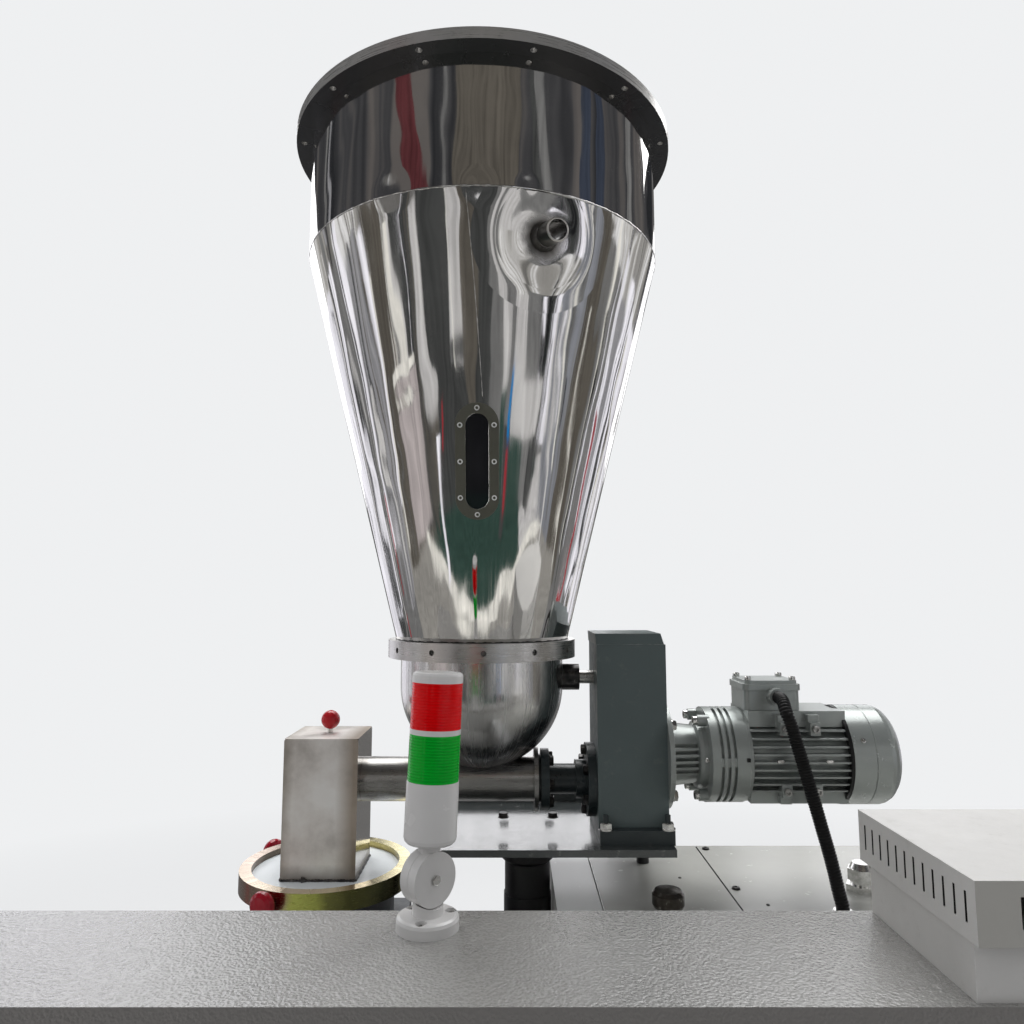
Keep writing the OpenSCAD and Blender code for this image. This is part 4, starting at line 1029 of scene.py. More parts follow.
# Clamp flange
# A turned stainless ring joins cone and bowl. Twelve grub screws in its edge grip the collar of
# the bowl.
flange_low, flange_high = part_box("hopper_flange")
FLANGE_R = (flange_high.x - flange_low.x) / 2
turned_ring = satin_stainless("turned_ring", HOPPER, FLANGE_R, 0.66)
dress(turned_ring, "hopper_flange")
grub_screw = head_shape("grub_screw", [(0.0036, 0.0), (0.0036, 0.0020), (0.0032, 0.0026)],
                        socket=(0.0017, 0.0020))
FLANGE_MID = (flange_low.z + flange_high.z) / 2
grub_spots = []
for k in range(12):
    turn = math.radians(30 * k + 3)
    out = Vector((math.cos(turn), math.sin(turn), 0))
    grub_spots.append((HOPPER + out * (FLANGE_R - 0.0065) + Vector((0, 0, FLANGE_MID)), out))
set_fasteners("grub_screws", grub_screw, grub_spots, bright_steel("dull_screw", 0.30, 0.4),
              "zinc_steel")


# Mixing bowl
# A spun stainless bowl with a round bottom, polished like the hopper. The agitator's seal passes
# through its right side and the feed tube cuts through its bottom.
bowl_low, bowl_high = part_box("mixing_bowl")
BOWL_R = (bowl_high.x - bowl_low.x) / 2
mirror_bowl = polished_stainless("mirror_bowl", HOPPER, BOWL_R, 0.0009, 0.00003, 0.26, 0.001)


def shaded_bottom(material, low, high):
    """Painted shade: the bottom is greyed, fading out between two heights."""
    tree, _, bsdf = nodes_of(material)
    grey = mapped(tree, axes_of(tree, object_space(tree))[2], low, high, 1.0, 0.0)
    repaint(tree, bsdf, grey, (0.16, 0.16, 0.17))


# Painted shade on the bowl's lower part.
shaded_bottom(mirror_bowl, 1.270, 1.370)
BOWL_Z = 1.383
bowl_outside = [(BOWL_R, bowl_high.z), (BOWL_R, BOWL_Z)]
bowl_outside += [(BOWL_R * math.cos(a), BOWL_Z - BOWL_R * math.sin(a))
                 for a in (math.pi / 2 * k / 40 for k in range(1, 40))]
bowl_outside += [(0.0, BOWL_Z - BOWL_R)]
INNER_SHARE = (BOWL_R - SHEET) / BOWL_R
bowl_inside = [(max(0.0, r - SHEET), z) if z > BOWL_Z - 0.001
               else (r * INNER_SHARE, BOWL_Z - (BOWL_Z - z) * INNER_SHARE)
               for r, z in bowl_outside[::-1]]
bowl = lathe("mixing_bowl_spun", bowl_outside + bowl_inside, HOPPER, mirror_bowl, steps=200)
ALONG_X = Matrix.Rotation(math.pi / 2, 4, "Y")
for name, radius, start, z in (("tube_cut", 0.0322, -0.2, 1.242), ("seal_cut", 0.0197, 0.0, 1.393)):
    cut_away(bowl, prism(name, circle(radius, 96), start, 0.2, Matrix.Translation(
        (HOPPER.x, HOPPER.y, z)) @ ALONG_X, mirror_bowl))
bowl.data.set_sharp_from_angle(angle=math.radians(40))
stands_for(bowl, "mirror_stainless", "mixing_bowl")


# Agitator and its seal
# The shaft runs in a black seal housing screwed to the bowl and enters the gear case. Its arms
# turn inside the bowl and keep the granulate loose.
def black_oxide(name="black_oxide", tone=0.035, rough=0.38):
    made, tree, links, bsdf = new_finish(name)
    wear = noise(tree, object_space(tree), 90.0, 6.0, 0.6)
    bsdf.inputs["Metallic"].default_value = 0.85
    colour = graded(tree, wear, (0.35, (tone * 0.5, tone * 0.5, tone * 0.52)),
                    (0.60, (tone * 1.4, tone * 1.35, tone * 1.3)),
                    (0.78, (tone * 4, tone * 3.8, tone * 3.6)))
    links.new(colour, bsdf.inputs["Base Color"])
    links.new(mapped(tree, wear, 0.3, 0.7, rough * 1.2, rough * 0.8), bsdf.inputs["Roughness"])
    bump(tree, bsdf, wear, 0.0001)
    return made


seal_black = black_oxide("seal_black", 0.06, 0.30)
dress(seal_black, "seal_housing")
dress(satin_stainless("agitator_steel", None, tone=0.60), "agitator")


# Feed tube, screw and bearing housing
# The feed tube is drawn stainless pipe with a flat plate welded on its right end. The bearing
# housing bolted behind it is cast iron with two round flanges, painted dark green.
tube_steel = satin_stainless("tube_steel", None, tone=0.40, grain=(0.03, 1.0, 1.0))
dress(tube_steel, "feed_tube")
dress(satin_stainless("screw_steel_bar", None, tone=0.55), "feed_screw")


cast_green = worn_paint("cast_green", (0.020, 0.028, 0.030), (0.16, 0.16, 0.15), gloss=0.30,
                        peel=0.0003, peel_scale=160.0)
dress(cast_green, "bearing_housing")


def hex_head(name, across, height, washer=None):
    """A hexagon head with a chamfered top, on a washer if it has one."""
    rings = []
    if washer:
        rings = [(washer[0], 0.0), (washer[0], washer[1]), (across * 0.66, washer[1])]
    lift = washer[1] if washer else 0.0
    made = head_shape(name, rings or [(across * 0.5, 0.0), (across * 0.5, 0.0002)], sides=24)
    shape = bmesh.new()
    shape.from_mesh(made.data)
    corners = across / math.sqrt(3)
    loops = [[shape.verts.new((x, y, h)) for x, y in circle(r, 6)]
             for r, h in ((corners, lift), (corners, lift + height * 0.86),
                          (corners * 0.86, lift + height))]
    for low, high in zip(loops, loops[1:]):
        for k in range(6):
            shape.faces.new([low[k], low[(k + 1) % 6], high[(k + 1) % 6], high[k]])
    shape.faces.new(loops[0][::-1])
    shape.faces.new(loops[-1])
    bmesh.ops.recalc_face_normals(shape, faces=shape.faces)
    shape.to_mesh(made.data)
    shape.free()
    made.data.set_sharp_from_angle(angle=math.radians(25))
    return made


def bolt_circle(centre, way, radius, count, start):
    """(point, way) spots round a level axis, from start degrees."""
    way = Vector(way)
    side = way.cross(UPWARDS).normalized()
    up = side.cross(way)
    return [(Vector(centre) + radius * (math.cos(a) * side + math.sin(a) * up), way)
            for a in (math.radians(start + 360 * k / count) for k in range(count))]


housing_low, housing_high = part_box("bearing_housing")
TUBE_AXIS = Vector((0, HOPPER.y, 1.242))
dark_bolt = black_oxide("dark_bolt", 0.05, 0.34)
m8_head = hex_head("m8_head", 0.013, 0.0055, washer=(0.0082, 0.0014))
front_plate = Vector((housing_low.x + 0.016, TUBE_AXIS.y, TUBE_AXIS.z))
back_plate = Vector((housing_high.x - 0.013, TUBE_AXIS.y, TUBE_AXIS.z))
set_fasteners("housing_bolts", m8_head,
              bolt_circle(front_plate, (1, 0, 0), 0.0345, 6, 0)
              + bolt_circle(back_plate, (-1, 0, 0), 0.043, 6, 30), dark_bolt, "black_steel")


# Gear case
# A welded plate box with a screwed lid holds the chain drive between motor and feed screw. It is
# sprayed dark grey green and stands on a thick foot block with a stud and nut at each corner.
GREEN_GREY = (0.092, 0.118, 0.118)
case_paint = worn_paint("case_paint", GREEN_GREY, (0.19, 0.20, 0.19), gloss=0.42)
dress(case_paint, "gear_case")
dress(worn_paint("lid_paint", GREEN_GREY, (0.19, 0.20, 0.19), gloss=0.34, edge=(0.55, 0.56, 0.54),
                 edge_width=0.0016), "gear_case_lid")
foot_paint = worn_paint("foot_paint", (0.030, 0.038, 0.040), (0.15, 0.15, 0.14), gloss=0.36)
dress(foot_paint, "case_foot")
plate_paint = worn_paint("plate_paint", (0.040, 0.046, 0.046), (0.20, 0.20, 0.19), gloss=0.20,
                         peel=0.0005, peel_scale=420.0)
set_values(nodes_of(plate_paint)[2], {"Specular IOR Level": 1.0, "Coat Weight": 0.8,
                                      "Coat Roughness": 0.12})
dress(plate_paint, "base_plate")
foot_low, foot_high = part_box("case_foot")
FOOT_TOP, PLATE_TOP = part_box("gear_case")[0].z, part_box("base_plate")[1].z
screw_steel = bright_steel("screw_steel", 0.78, 0.16)
nut = hex_head("m10_nut", 0.016, 0.008, washer=(0.0105, 0.0020))
STUD_EDGE = (0.009, 0.007)
stud_spots = [(x, y) for x in (foot_low.x + STUD_EDGE[0], foot_high.x - STUD_EDGE[0])
              for y in (foot_low.y + STUD_EDGE[1], foot_high.y - STUD_EDGE[1])]


def standing(spots, z):
    """(point, way) spots of heads that stand upright on a level face."""
    return [(Vector((x, y, z)), UPWARDS) for x, y in spots]


set_fasteners("stud_nuts", nut, standing(stud_spots, FOOT_TOP), screw_steel, "zinc_steel")
PLATE_BOLTS = [(x, y) for x in (-0.093, -0.019) for y in (0.132, 0.247)]
set_fasteners("plate_bolts", m8_head, standing(PLATE_BOLTS, PLATE_TOP), dark_bolt, "black_steel")


# Support post and its cup
# A round black steel column with a flat head carries the free end of the base plate. It stands
# in a short cup on the drive housing of the feed throat.
post_black = worn_paint("post_black", (0.010, 0.010, 0.011), (0.09, 0.09, 0.085), gloss=0.40)
dress(post_black, "support_post", "post_socket")


# Chute
# A square tube folded from brushed stainless sheet drops the granulate into the throat. It is
# stitch welded to the disc, and the heat has browned it round the weld.
def multiplied(tree, first, second):
    """One colour times another."""
    return node(tree, "ShaderNodeMix", {0: 1.0, 6: first, 7: second}, data_type="RGBA",
                blend_type="MULTIPLY").outputs[2]


def chute_steel():
    """Brushed front and rear with painted shade towards their side edges, mirror polished sides,
    browned at the foot.
    """
    made = satin_stainless("chute_steel", None, tone=0.60, grain=(1.0, 1.0, 0.03))
    tree, links, bsdf = nodes_of(made)
    where = object_space(tree)
    x, _, z = axes_of(tree, where)
    cloud = noise(tree, where, 11.0, 6.0, 0.6)
    cloudy = graded(tree, cloud, (0.34, (0.62, 0.58, 0.54)), (0.50, (0.88, 0.84, 0.80)),
                    (0.64, (1.0, 0.98, 0.95)))
    # Painted shade: front and rear darken towards their left and right edges.
    across = plus(tree, mapped(tree, x, chute_low.x, chute_high.x, 0.0, 1.0),
                  times(tree, math_node(tree, "SUBTRACT", cloud, 0.5), 0.16))
    shade = graded(tree, across, (0.0, (0.55, 0.52, 0.48)), (0.14, (0.95, 0.94, 0.93)),
                   (0.72, (1.0, 1.0, 1.0)), (0.94, (0.50, 0.44, 0.38)))
    sides = mapped(tree, math_node(tree, "ABSOLUTE", facing(tree)[0]), 0.5, 0.6, 0.0, 1.0)
    burnt = plus(tree, z, times(tree, cloud, 0.012))
    near_weld = mapped(tree, burnt, chute_low.z + 0.006, chute_low.z + 0.030, 1.0, 0.0)
    plain = mixed_colour(tree, sides, multiplied(tree, cloudy, shade), (0.52, 0.49, 0.46))
    links.new(mapped(tree, sides, 0.0, 1.0, 0.42, 1.0), bsdf.inputs["Metallic"])
    links.new(mixed_colour(tree, near_weld, plain, (0.17, 0.145, 0.125)),
              bsdf.inputs["Base Color"])
    brushed = mapped(tree, cloud, 0.3, 0.7, 0.34, 0.46)
    polished = plus(tree, 0.12, times(tree, near_weld, 0.3))
    rough = node(tree, "ShaderNodeMix", {0: sides, 2: brushed, 3: polished}, data_type="FLOAT")
    links.new(rough.outputs[0], bsdf.inputs["Roughness"])
    return made


chute_low, chute_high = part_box("chute")
chute_finish = chute_steel()
dress(chute_finish, "chute")


def rough_weld(name, corners, radius, material):
    """A lumpy bead laid along straight runs between corners."""
    verts, faces, sides, count = [], [], 8, 0
    for a, b in zip(corners, corners[1:]):
        a, b = Vector(a), Vector(b)
        way = (b - a).normalized()
        u = way.orthogonal().normalized()
        v = way.cross(u)
        steps = max(4, int((b - a).length / 0.0015))
        start = len(verts)
        for i in range(steps + 1):
            lump = 1 + 0.28 * math.sin(2.1 * (count + i)) + 0.18 * math.sin(0.53 * (count + i) + 2)
            closed = 0.05 if i in (0, steps) else lump
            p = a + (b - a) * i / steps
            verts += [p + x * u + y * v for x, y in circle(radius * closed, sides)]
        count += steps
        faces += [(start + i * sides + k, start + i * sides + (k + 1) % sides,
                   start + (i + 1) * sides + (k + 1) % sides, start + (i + 1) * sides + k)
                  for i in range(steps) for k in range(sides)]
        last = start + steps * sides
        faces += [tuple(start + k for k in range(sides))[::-1],
                  tuple(last + k for k in range(sides))]
    return new_mesh_object(name, verts, faces, material)


weld_dark = black_oxide("weld_dark", 0.12, 0.45)
WELD_Z = chute_low.z + 0.001
chute_foot = [(chute_low.x, chute_low.y), (chute_high.x, chute_low.y),
              (chute_high.x, chute_high.y), (chute_low.x, chute_high.y), (chute_low.x, chute_low.y)]
chute_weld = rough_weld("chute_weld", [(x, y, WELD_Z) for x, y in chute_foot], 0.0021, weld_dark)
stands_for(chute_weld, "brushed_stainless")
TACK_LEFT, TACK_RIGHT, TACK_Y = -0.3795, -0.3725, chute_low.y - 0.0015
chute_tack = rough_weld("chute_tack", [(TACK_LEFT, TACK_Y, WELD_Z + 0.001),
                                       (TACK_RIGHT, TACK_Y, WELD_Z + 0.002)], 0.0038, weld_dark)
stands_for(chute_tack, "brushed_stainless")
lid_low, lid_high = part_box("chute_lid")
LID_X = (lid_low.x + lid_high.x) / 2
BALL_R = 0.014


def folded_lid():
    """The chute's lid: a flat sheet with eased corners and its stud."""
    half = ((lid_high.x - lid_low.x) / 2, (lid_high.y - lid_low.y) / 2)
    ease, sheet_thick = 0.003, 0.002
    outline = [(sx * (half[0] - ease * (1 - math.cos(a))),
                sy * (half[1] - ease * (1 - math.sin(a))))
               for sx, sy, turns in ((1, 1, (0, 45, 90)), (-1, 1, (90, 45, 0)),
                                     (-1, -1, (0, 45, 90)), (1, -1, (90, 45, 0)))
               for a in map(math.radians, turns)]
    middle = Matrix.Translation((LID_X, HOPPER.y, 0))
    sheet = prism("chute_lid_sheet", outline, lid_low.z, lid_low.z + sheet_thick, middle,
                  chute_finish)
    stands_for(sheet, "brushed_stainless", "chute_lid")
    stud = lathe("chute_lid_stud", [(0.0, 0.0015), (0.0045, 0.0015), (0.0045, 0.0100),
                                    (0.0, 0.0100)],
                 middle.translation + Vector((0, 0, lid_low.z)), screw_steel, steps=32,
                 closed=False)
    stands_for(stud, "zinc_steel")


folded_lid()


# Throat disc, clamp ring and knobs
# A pale plastic-coated disc closes the throat round the chute. A steel ring, passivated yellow,
# clamps it down, and three red knobs lock the ring.
ring_low, ring_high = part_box("clamp_ring")
RING_CENTRE = (ring_low + ring_high) / 2
STUD_REACH = 0.1318


def yellow_zinc():
    """Yellow passivation, whose tint drifts round the ring from pink to green and olive. Its
    brightness round the ring, light at the front and darker further round, and its cream top are
    painted reflection.
    """
    made, tree, links, bsdf = new_finish("yellow_zinc")
    bsdf.inputs["Metallic"].default_value = 1.0
    x, y, _ = axes_of(tree, object_space(tree, centre=RING_CENTRE))
    axis_foot = (RING_CENTRE.x, RING_CENTRE.y, 0)
    fine = noise(tree, unrolled(tree, axis_foot, 0.12, 8.0), 120.0, 4.0)
    drift = noise(tree, object_space(tree), 26.0, 3.0)
    turn = math_node(tree, "ARCTAN2", x, times(tree, y, -1.0))
    place = plus(tree, plus(tree, math_node(tree, "DIVIDE", turn, 2 * math.pi), 0.5),
                 times(tree, math_node(tree, "SUBTRACT", drift, 0.5), 0.05))
    # Painted reflection: the side is light where it faces the front and dark further round, on top
    # of the tint's drift.
    side = graded(tree, place, (0.20, (0.12, 0.10, 0.08)), (0.34, (0.34, 0.25, 0.20)),
                  (0.45, (0.46, 0.34, 0.25)), (0.475, (0.62, 0.66, 0.17)),
                  (0.515, (0.62, 0.66, 0.17)), (0.54, (0.30, 0.30, 0.10)),
                  (0.64, (0.13, 0.13, 0.07)), (0.85, (0.40, 0.34, 0.14)))
    top = graded(tree, place, (0.25, (0.74, 0.60, 0.50)), (0.46, (0.80, 0.68, 0.52)),
                 (0.60, (0.84, 0.72, 0.46)), (0.75, (0.80, 0.72, 0.42)))
    # Painted reflection: the top faces get a light cream.
    lit_top = mapped(tree, facing(tree)[2], 0.4, 0.6, 0.0, 1.0)
    links.new(mixed_colour(tree, lit_top, side, top), bsdf.inputs["Base Color"])
    links.new(mapped(tree, fine, 0.3, 0.7, 0.16, 0.30), bsdf.inputs["Roughness"])
    added_bumps(tree, bsdf, (fine, 0.00005))
    return made


dress(yellow_zinc(), "clamp_ring")
dress(worn_paint("disc_white", (0.84, 0.88, 0.90), (0.66, 0.68, 0.67), gloss=0.20), "throat_disc")


def moulded(name, colour, gloss=0.25, grain=0.00004, spread=0.06):
    """Injection moulded plastic: even colour, a faint mottle and a fine grain."""
    made, tree, links, bsdf = new_finish(name)
    where = object_space(tree)
    cloud = noise(tree, where, 30.0, 4.0)
    links.new(graded(tree, cloud, (0.3, [c * (1 - spread) for c in colour]),
                     (0.7, [min(1, c * (1 + spread)) for c in colour])), bsdf.inputs["Base Color"])
    links.new(mapped(tree, cloud, 0.3, 0.7, gloss * 0.8, gloss * 1.3), bsdf.inputs["Roughness"])
    bump(tree, bsdf, noise(tree, where, 1200.0, 2.0), grain, 0.6)
    return made


def knob_red():
    """Red moulded knobs on plated studs, told apart by how far out they stand."""
    made = moulded("knob_red", (0.32, 0.004, 0.016), 0.18)
    tree, links, bsdf = nodes_of(made)
    out = vector_math(tree, "LENGTH", object_space(tree, (1, 1, 0), RING_CENTRE))
    stud = mapped(tree, out, STUD_REACH, STUD_REACH + 0.0001, 1.0, 0.0)
    repaint(tree, bsdf, stud, (0.66, 0.46, 0.34))
    links.new(stud, bsdf.inputs["Metallic"])
    return made


dress(knob_red(), "clamp_knobs")
ball_arc = [(BALL_R * math.cos(a), BALL_R * math.sin(a))
            for a in (math.radians(80 - 10 * k) for k in range(17))]
ball = lathe("chute_knob", [(0.0, BALL_R), *ball_arc, (0.0, -BALL_R)],
             (LID_X, HOPPER.y, lid_high.z - BALL_R),
             moulded("ball_red", (0.50, 0.012, 0.020), 0.16), steps=64, closed=False)
stands_for(ball, "red_plastic")


# Feed throat and drive housing
# The machined steel block holds the two barrel bores and takes the cooling water. The housing
# between it and the gearbox carries the screw couplings.
throat_iron = worn_paint("throat_iron", (0.10, 0.105, 0.11), (0.28, 0.27, 0.25), gloss=0.45,
                         peel=0.0003, peel_scale=180.0, metal=0.5)
dress(throat_iron, "throat_block")
dress(cast_green, "drive_lantern")


# Gearmotor
# A geared motor hangs on the gear case by a cast neck. Reducer, motor and fan cowl are cast or
# pressed aluminium under one coat of metallic grey green, and its screws are bright zinc.
def metallic_paint(name, colour, gloss=0.34):
    return worn_paint(name, colour, (0.34, 0.35, 0.34), gloss=gloss, peel=0.00012, peel_scale=300.0,
                      metal=0.45, edge=(0.78, 0.80, 0.79), edge_width=0.0009, uneven=0.02,
                      grime=0.2)


motor_grey = metallic_paint("motor_grey", (0.340, 0.365, 0.352), 0.30)
dress(motor_grey, "gear_reducer", "motor_body", "terminal_box")
dress(metallic_paint("cowl_grey", (0.350, 0.375, 0.362), 0.26), "fan_cowl")
MOTOR_AXIS = Vector((0, HOPPER.y, 1.279))
motor_low, reducer_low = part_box("motor_body")[0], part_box("gear_reducer")[0]
cowl_low, cowl_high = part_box("fan_cowl")
COWL_R = (cowl_high.y - cowl_low.y) / 2
# A black ring at the cowl's open left edge: painted shade in the gap between cowl and motor.
GAP_TOP, GAP_FLOOR = COWL_R - 0.0006, COWL_R - 0.0100
GAP_LEFT, GAP_RIGHT = cowl_low.x - 0.0046, cowl_low.x + 0.0004
cowl_gap = lathe("cowl_gap", [(GAP_TOP, GAP_LEFT), (GAP_TOP, GAP_RIGHT),
                              (GAP_FLOOR, GAP_RIGHT), (GAP_FLOOR, GAP_LEFT)],
                 MOTOR_AXIS, moulded_black(), axis="X")
stands_for(cowl_gap, "black_rubber")
cap_screw = head_shape("cap_screw", [(0.0050, 0.0), (0.0052, 0.0008), (0.0052, 0.0050),
                                     (0.0046, 0.0056)], socket=(0.0028, 0.0030))
case_flange = Vector((reducer_low.x + 0.007, MOTOR_AXIS.y, MOTOR_AXIS.z))
set_fasteners("case_flange_bolts", m8_head, bolt_circle(case_flange, (1, 0, 0), 0.070, 4, 45),
              screw_steel, "zinc_steel")
LUG_X, LUG_RING, FOOT_FACE, DEEP_SINK = 0.194, 0.0615, 0.063, 0.0004
lug_spots = []
for turn in (60, -60, 120, -120):
    a = math.radians(turn)
    lug_spots.append((MOTOR_AXIS + Vector((LUG_X + DEEP_SINK, -LUG_RING * math.cos(a),
                                           LUG_RING * math.sin(a))), Vector((-1, 0, 0))))
set_fasteners("lug_bolts", cap_screw, lug_spots, screw_steel, "zinc_steel", size=1.25)
pad_spots = [(Vector((x, MOTOR_AXIS.y + side * (FOOT_FACE - DEEP_SINK), z)), Vector((0, side, 0)))
             for x in (motor_low.x + 0.0473, motor_low.x + 0.0909) for side in (-1, 1)
             for z in (MOTOR_AXIS.z + 0.046, MOTOR_AXIS.z - 0.041)]
set_fasteners("foot_pad_screws", cap_screw, pad_spots, bright_steel("pad_screw", 0.50, 0.34),
              "zinc_steel", size=1.04)
small_screw = head_shape("small_screw", [(0.0033, 0.0), (0.0034, 0.0010), (0.0030, 0.0019),
                                         (0.0024, 0.0022)], socket=(0.0015, 0.0016))
cowl_spots = []
for turn in (25, -115, 155):
    a = math.radians(turn)
    out = Vector((0, -math.cos(a), math.sin(a)))
    cowl_spots.append((Vector((cowl_low.x + 0.0154, MOTOR_AXIS.y, MOTOR_AXIS.z))
                       + out * (COWL_R - DEEP_SINK), out))
set_fasteners("cowl_screws", small_screw, cowl_spots, screw_steel, "zinc_steel", size=1.2)
LOCK_X, NECK_FACE = 0.2030, 0.0498
set_fasteners("drum_screw", grub_screw, [(MOTOR_AXIS + Vector((LOCK_X, -NECK_FACE, 0)),
                                          Vector((0, -1, 0)))], screw_steel, "zinc_steel")


def side_studs():
    """Two flat oval studs on the middle fin of each side, and a ribbed clip on the flange."""
    fin_face, stud_z, clip_x, clip_z = 0.069, 1.281, 0.2576, 1.2805
    for side in (-1, 1):
        for i, x in enumerate((motor_low.x + 0.037, motor_low.x + 0.107)):
            place = Matrix.Translation((x, MOTOR_AXIS.y + side * (fin_face - 0.002), stud_z))
            turned = Matrix(((0, 1, 0, 0), (0, 0, side, 0), (side, 0, 0, 0), (0, 0, 0, 1)))
            stud = prism("oval_stud_%d_%s" % (i, "front" if side < 0 else "rear"),
                         obround_points(0.0040, 0.0095), 0.0, 0.0034, place @ turned, screw_steel)
            stands_for(stud, "zinc_steel")
    clip = []
    for k in range(3):
        low = clip_z + 0.0018 * k
        clip += [(0.0025, low), (0.0025, low + 0.0012), (0.0018, low + 0.0012),
                 (0.0018, low + 0.0018)]
    outline = [(-x, z) for x, z in clip[::-1]] + clip
    place = Matrix.Translation((clip_x, MOTOR_AXIS.y - fin_face + 0.001, 0)) @ Matrix.Rotation(
        math.pi / 2, 4, "X")
    stands_for(prism("flange_clip", outline, 0.0, 0.0032, place, dark_bolt), "black_steel")


side_studs()
box_low, box_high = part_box("terminal_box")
box_spots = [(x, y) for x in (box_low.x + 0.010, box_high.x - 0.010)
             for y in (box_low.y + 0.026, box_high.y - 0.010)]
set_fasteners("terminal_screws", cap_screw, standing(box_spots, box_high.z - DEEP_SINK),
              screw_steel, "zinc_steel")


# Deck
# Three painted steel plates close the gearbox, with two seams between them. They carry a breather
# cap, two cable glands and a few screws, large and small.
deck_paint = worn_paint("deck_paint", (0.40, 0.40, 0.375), (0.36, 0.35, 0.33), gloss=0.24,
                        peel=0.00006, peel_scale=220.0, grime=0.4)
deck_low, deck_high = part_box("deck_plates")
LEFT_SEAM, RIGHT_SEAM = 0.046, 0.238
CAP_CENTRE = (0.132, 0.036, 1.10)


def seamed_deck():
    """A paler left plate, a painted highlight along the left seam and painted shade in the right
    one.
    """
    tree, links, bsdf = nodes_of(deck_paint)
    x = axes_of(tree, object_space(tree))[0]
    colour = bsdf.inputs["Base Color"].links[0].from_socket
    # Bands across x: the paler left plate, a painted highlight at the left seam, painted shade in
    # the right seam.
    bands = [(deck_low.x, LEFT_SEAM, (0.66, 0.67, 0.66)),
             (LEFT_SEAM - 0.0004, LEFT_SEAM + 0.0016, (0.95, 0.95, 0.93)),
             (RIGHT_SEAM - 0.0014, RIGHT_SEAM + 0.0014, (0.030, 0.030, 0.028))]
    for left, right, shade in bands:
        inside = times(tree, math_node(tree, "GREATER_THAN", x, left),
                       math_node(tree, "LESS_THAN", x, right))
        colour = mixed_colour(tree, inside, colour, shade)
    links.new(colour, bsdf.inputs["Base Color"])
    bsdf.inputs["Specular IOR Level"].default_value = 0.9


seamed_deck()
dress(deck_paint, "deck_plates")


def fitting_steel():
    """Bright gland nuts, and a breather cap that oil mist has browned."""
    made = bright_steel("fitting_steel", 0.80, 0.16)
    tree, links, bsdf = nodes_of(made)
    cap = mapped(tree, away_from(tree, CAP_CENTRE), 0.040, 0.045, 1.0, 0.0)
    stain = noise(tree, object_space(tree), 70.0, 6.0, 0.7)
    brown = graded(tree, stain, (0.35, (0.030, 0.026, 0.022)), (0.55, (0.075, 0.066, 0.056)),
                   (0.66, (0.50, 0.50, 0.46)))
    repaint(tree, bsdf, cap, brown)
    links.new(mapped(tree, cap, 0.0, 1.0, 1.0, 0.75), bsdf.inputs["Metallic"])
    return made


dress(fitting_steel(), "deck_fittings")
deck_screw = head_shape("deck_screw", [(0.0062, 0.0), (0.0064, 0.0008), (0.0052, 0.0030),
                                       (0.0030, 0.0036)], socket=(0.0024, 0.0028))
DECK_SPOTS = [(0.2515, 0.1315), (0.2515, 0.3085), (0.600, 0.1315), (0.600, 0.3085)]
SMALL_SPOTS = [(0.178, 0.1755), (0.279, 0.0725), (0.2515, -0.020), (0.600, -0.020)]
set_fasteners("deck_screws", deck_screw, standing(DECK_SPOTS, deck_high.z - SINK), dark_bolt,
              "black_steel")
set_fasteners("small_deck_screws", deck_screw, standing(SMALL_SPOTS, deck_high.z - SINK), dark_bolt,
              "black_steel", size=0.42)


# Trunk cover
# The front trunk is covered by a folded steel sheet with a glossy hammered enamel, whose fine
# dimples break up every highlight.
def hammered_enamel():
    made, tree, links, bsdf = new_finish("hammered_enamel")
    where = object_space(tree)
    cells = node(tree, "ShaderNodeTexVoronoi", {"Vector": where, "Scale": 350.0,
                                                "Smoothness": 0.7}, feature="SMOOTH_F1")
    peel = noise(tree, where, 540.0, 3.0)
    cloud = noise(tree, where, 5.0, 5.0, 0.6)
    both = plus(tree, times(tree, cells.outputs["Distance"], 0.8), times(tree, peel, 0.5))
    colour = graded(tree, both, (0.30, (0.25, 0.245, 0.232)), (0.75, (0.33, 0.325, 0.312)))
    cloudy = graded(tree, cloud, (0.3, (0.92, 0.92, 0.92)), (0.7, (1.0, 1.0, 1.0)))
    # Painted shade: the front fold, turned to the front, is darker.
    shaded_front = mapped(tree, facing(tree)[1], -0.90, -0.95, 0.0, 1.0)
    links.new(mixed_colour(tree, shaded_front, multiplied(tree, colour, cloudy), (0.190, 0.180, 0.172)),
              bsdf.inputs["Base Color"])
    links.new(mapped(tree, cloud, 0.3, 0.7, 0.22, 0.32), bsdf.inputs["Roughness"])
    set_values(bsdf, {"Coat Weight": 1.0, "Coat Roughness": 0.07})
    bump(tree, bsdf, both, 0.0005)
    crisp = node(tree, "ShaderNodeBump", {"Height": both, "Distance": 0.0015})
    links.new(crisp.outputs["Normal"], bsdf.inputs["Coat Normal"])
    return made


dress(hammered_enamel(), "trunk_cover")


# Bed
# The cabinets of the bed are folded and welded steel, sprayed light grey, with lift-off doors and
# panels. The bed stands on cast levelling feet.
bed_paint = worn_paint("bed_paint", (0.52, 0.52, 0.50), (0.42, 0.41, 0.39), gloss=0.40,
                       peel=0.0002, peel_scale=260.0, uneven=0.025)
door_paint = worn_paint("door_paint", (0.57, 0.57, 0.55), (0.47, 0.46, 0.44), gloss=0.38,
                        peel=0.0002, peel_scale=260.0, uneven=0.025)
dress(bed_paint, "base_cabinet", "gearbox_cabinet", "trunk_cabinet")
dress(door_paint, "front_doors", "end_panels", "rear_panels")
dress(bright_steel("foot_zinc", 0.42, 0.42), "levelling_feet")


# Vented box
# A small sheet steel box with a lift-off slotted lid stands on the trunk. It is powder coated
# off-white, with a fine even texture.
box_coat = worn_paint("box_coat", (0.62, 0.61, 0.59), (0.48, 0.47, 0.44), gloss=0.42,
                      peel=0.00016, peel_scale=480.0)


def coat_copy(name):
    """A copy of the box's coat, with its node tree, its links and its main shader."""
    made = box_coat.copy()
    made.name = name
    return made, *nodes_of(made)


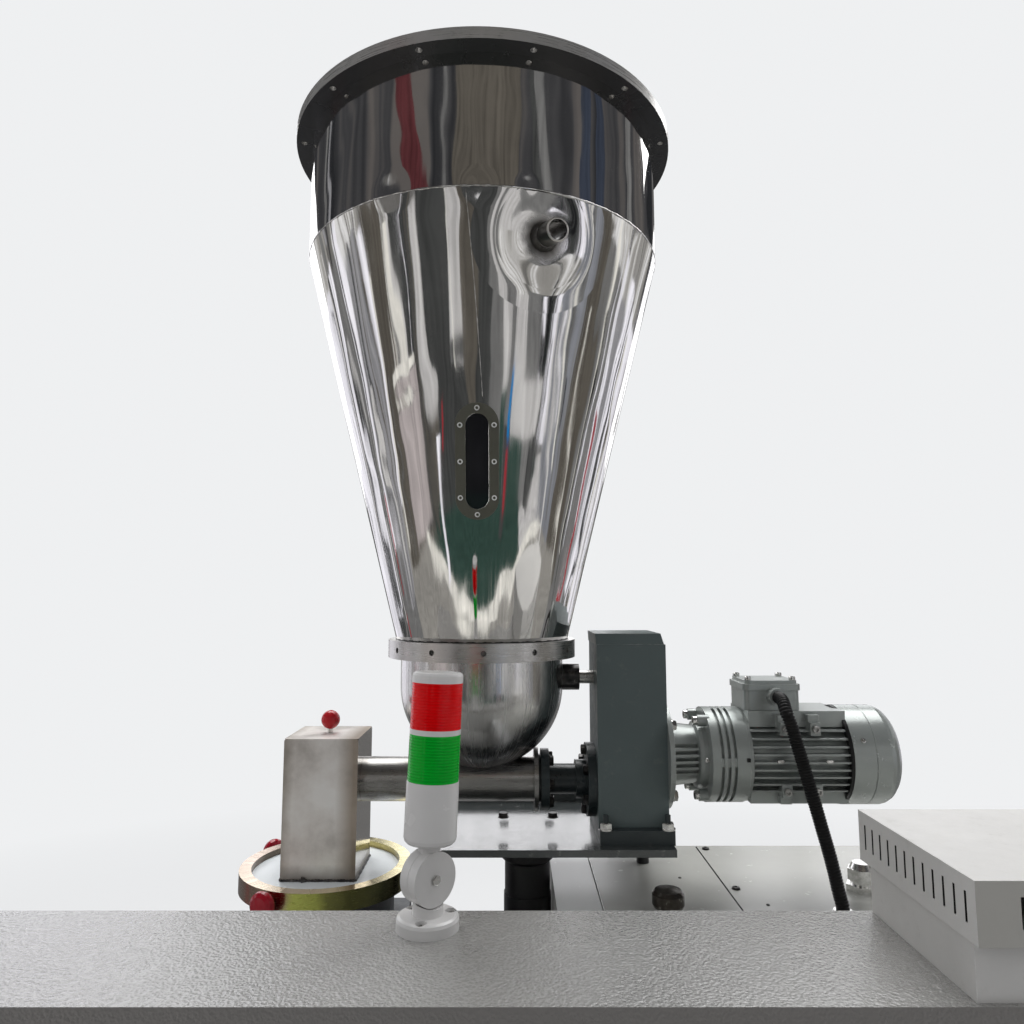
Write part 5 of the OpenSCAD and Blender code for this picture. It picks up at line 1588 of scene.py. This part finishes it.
def shaded_slots():
    """The same coat, with painted shade on the bottoms of the slots in the left side and the front,
    and on the faces turned to the front.
    """
    made, tree, _, bsdf = coat_copy("box_coat_slotted")
    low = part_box("vent_box_lid")[0]
    deep, faced = axes_of(tree, object_space(tree, centre=low)), facing(tree)
    dark = None
    for axis in (0, 1):
        sunk = times(tree, mapped(tree, faced[axis], -0.9, -0.95, 0.0, 1.0),
                     mapped(tree, deep[axis], 0.0006, 0.0007, 0.0, 1.0))
        dark = math_node(tree, "MAXIMUM", dark, sunk) if dark else sunk
    # Painted shade: faces turned to the front are darkened.
    repaint(tree, bsdf, mapped(tree, faced[1], -0.90, -0.95, 0.0, 0.8), (0.40, 0.39, 0.355))
    # Painted shade in the slot bottoms.
    repaint(tree, bsdf, dark, (0.015, 0.015, 0.015))
    return made


dress(shaded_slots(), "vent_box_lid")


def shaded_inside():
    """The same coat, unlit where the body stands inside the lid, behind the slots."""
    made, tree, _, bsdf = coat_copy("box_coat_shaded")
    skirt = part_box("vent_box_lid")[0].z
    height = axes_of(tree, object_space(tree))[2]
    inside = mapped(tree, height, skirt + 0.001, skirt + 0.002, 0.0, 1.0)
    repaint(tree, bsdf, inside, (0.012, 0.012, 0.012))
    return made


dress(shaded_inside(), "vent_box")


# Tower lamp
# A folding signal lamp of moulded plastic: a round base with three screws, a round knuckle with a
# nut across it, a plain barrel and two ribbed lenses.
lamp_white = moulded("lamp_white", (0.70, 0.69, 0.68), 0.22, spread=0.015)
dress(lamp_white, "lamp_base", "lamp_body")


def lens_plastic(name, colour):
    made = moulded(name, colour, 0.16, 0.00001)
    set_values(nodes_of(made)[2], {
        "Subsurface Weight": 0.25, "Subsurface Radius": (0.01, 0.01, 0.01),
        "Subsurface Scale": 0.5, "Specular IOR Level": 0.16, "Coat Weight": 0.25,
        "Coat Roughness": 0.05})
    return made


dress(lens_plastic("lens_red", (0.80, 0.0, 0.002)), "lens_red")
dress(lens_plastic("lens_green", (0.0, 0.46, 0.030)), "lens_green")
LAMP = Vector((-0.160, -0.287, 1.249))
PIN_WAY = Vector((math.sqrt(0.5), -math.sqrt(0.5), 0))
NUT_OUT, SCREW_RING, BASE_TOP = 0.0108, 0.0225, 1.2119
lamp_nut = hex_head("lamp_nut", 0.0085, 0.0030)
set_fasteners("lamp_nut_set", lamp_nut, [(LAMP + PIN_WAY * NUT_OUT, PIN_WAY)],
              screw_steel, "zinc_steel", body="lamp_head")
base_spots = [(LAMP.x + x, LAMP.y + y) for x, y in circle(SCREW_RING, 3, math.radians(-100))]
set_fasteners("lamp_base_screws", small_screw, standing(base_spots, BASE_TOP), screw_steel,
              "zinc_steel")
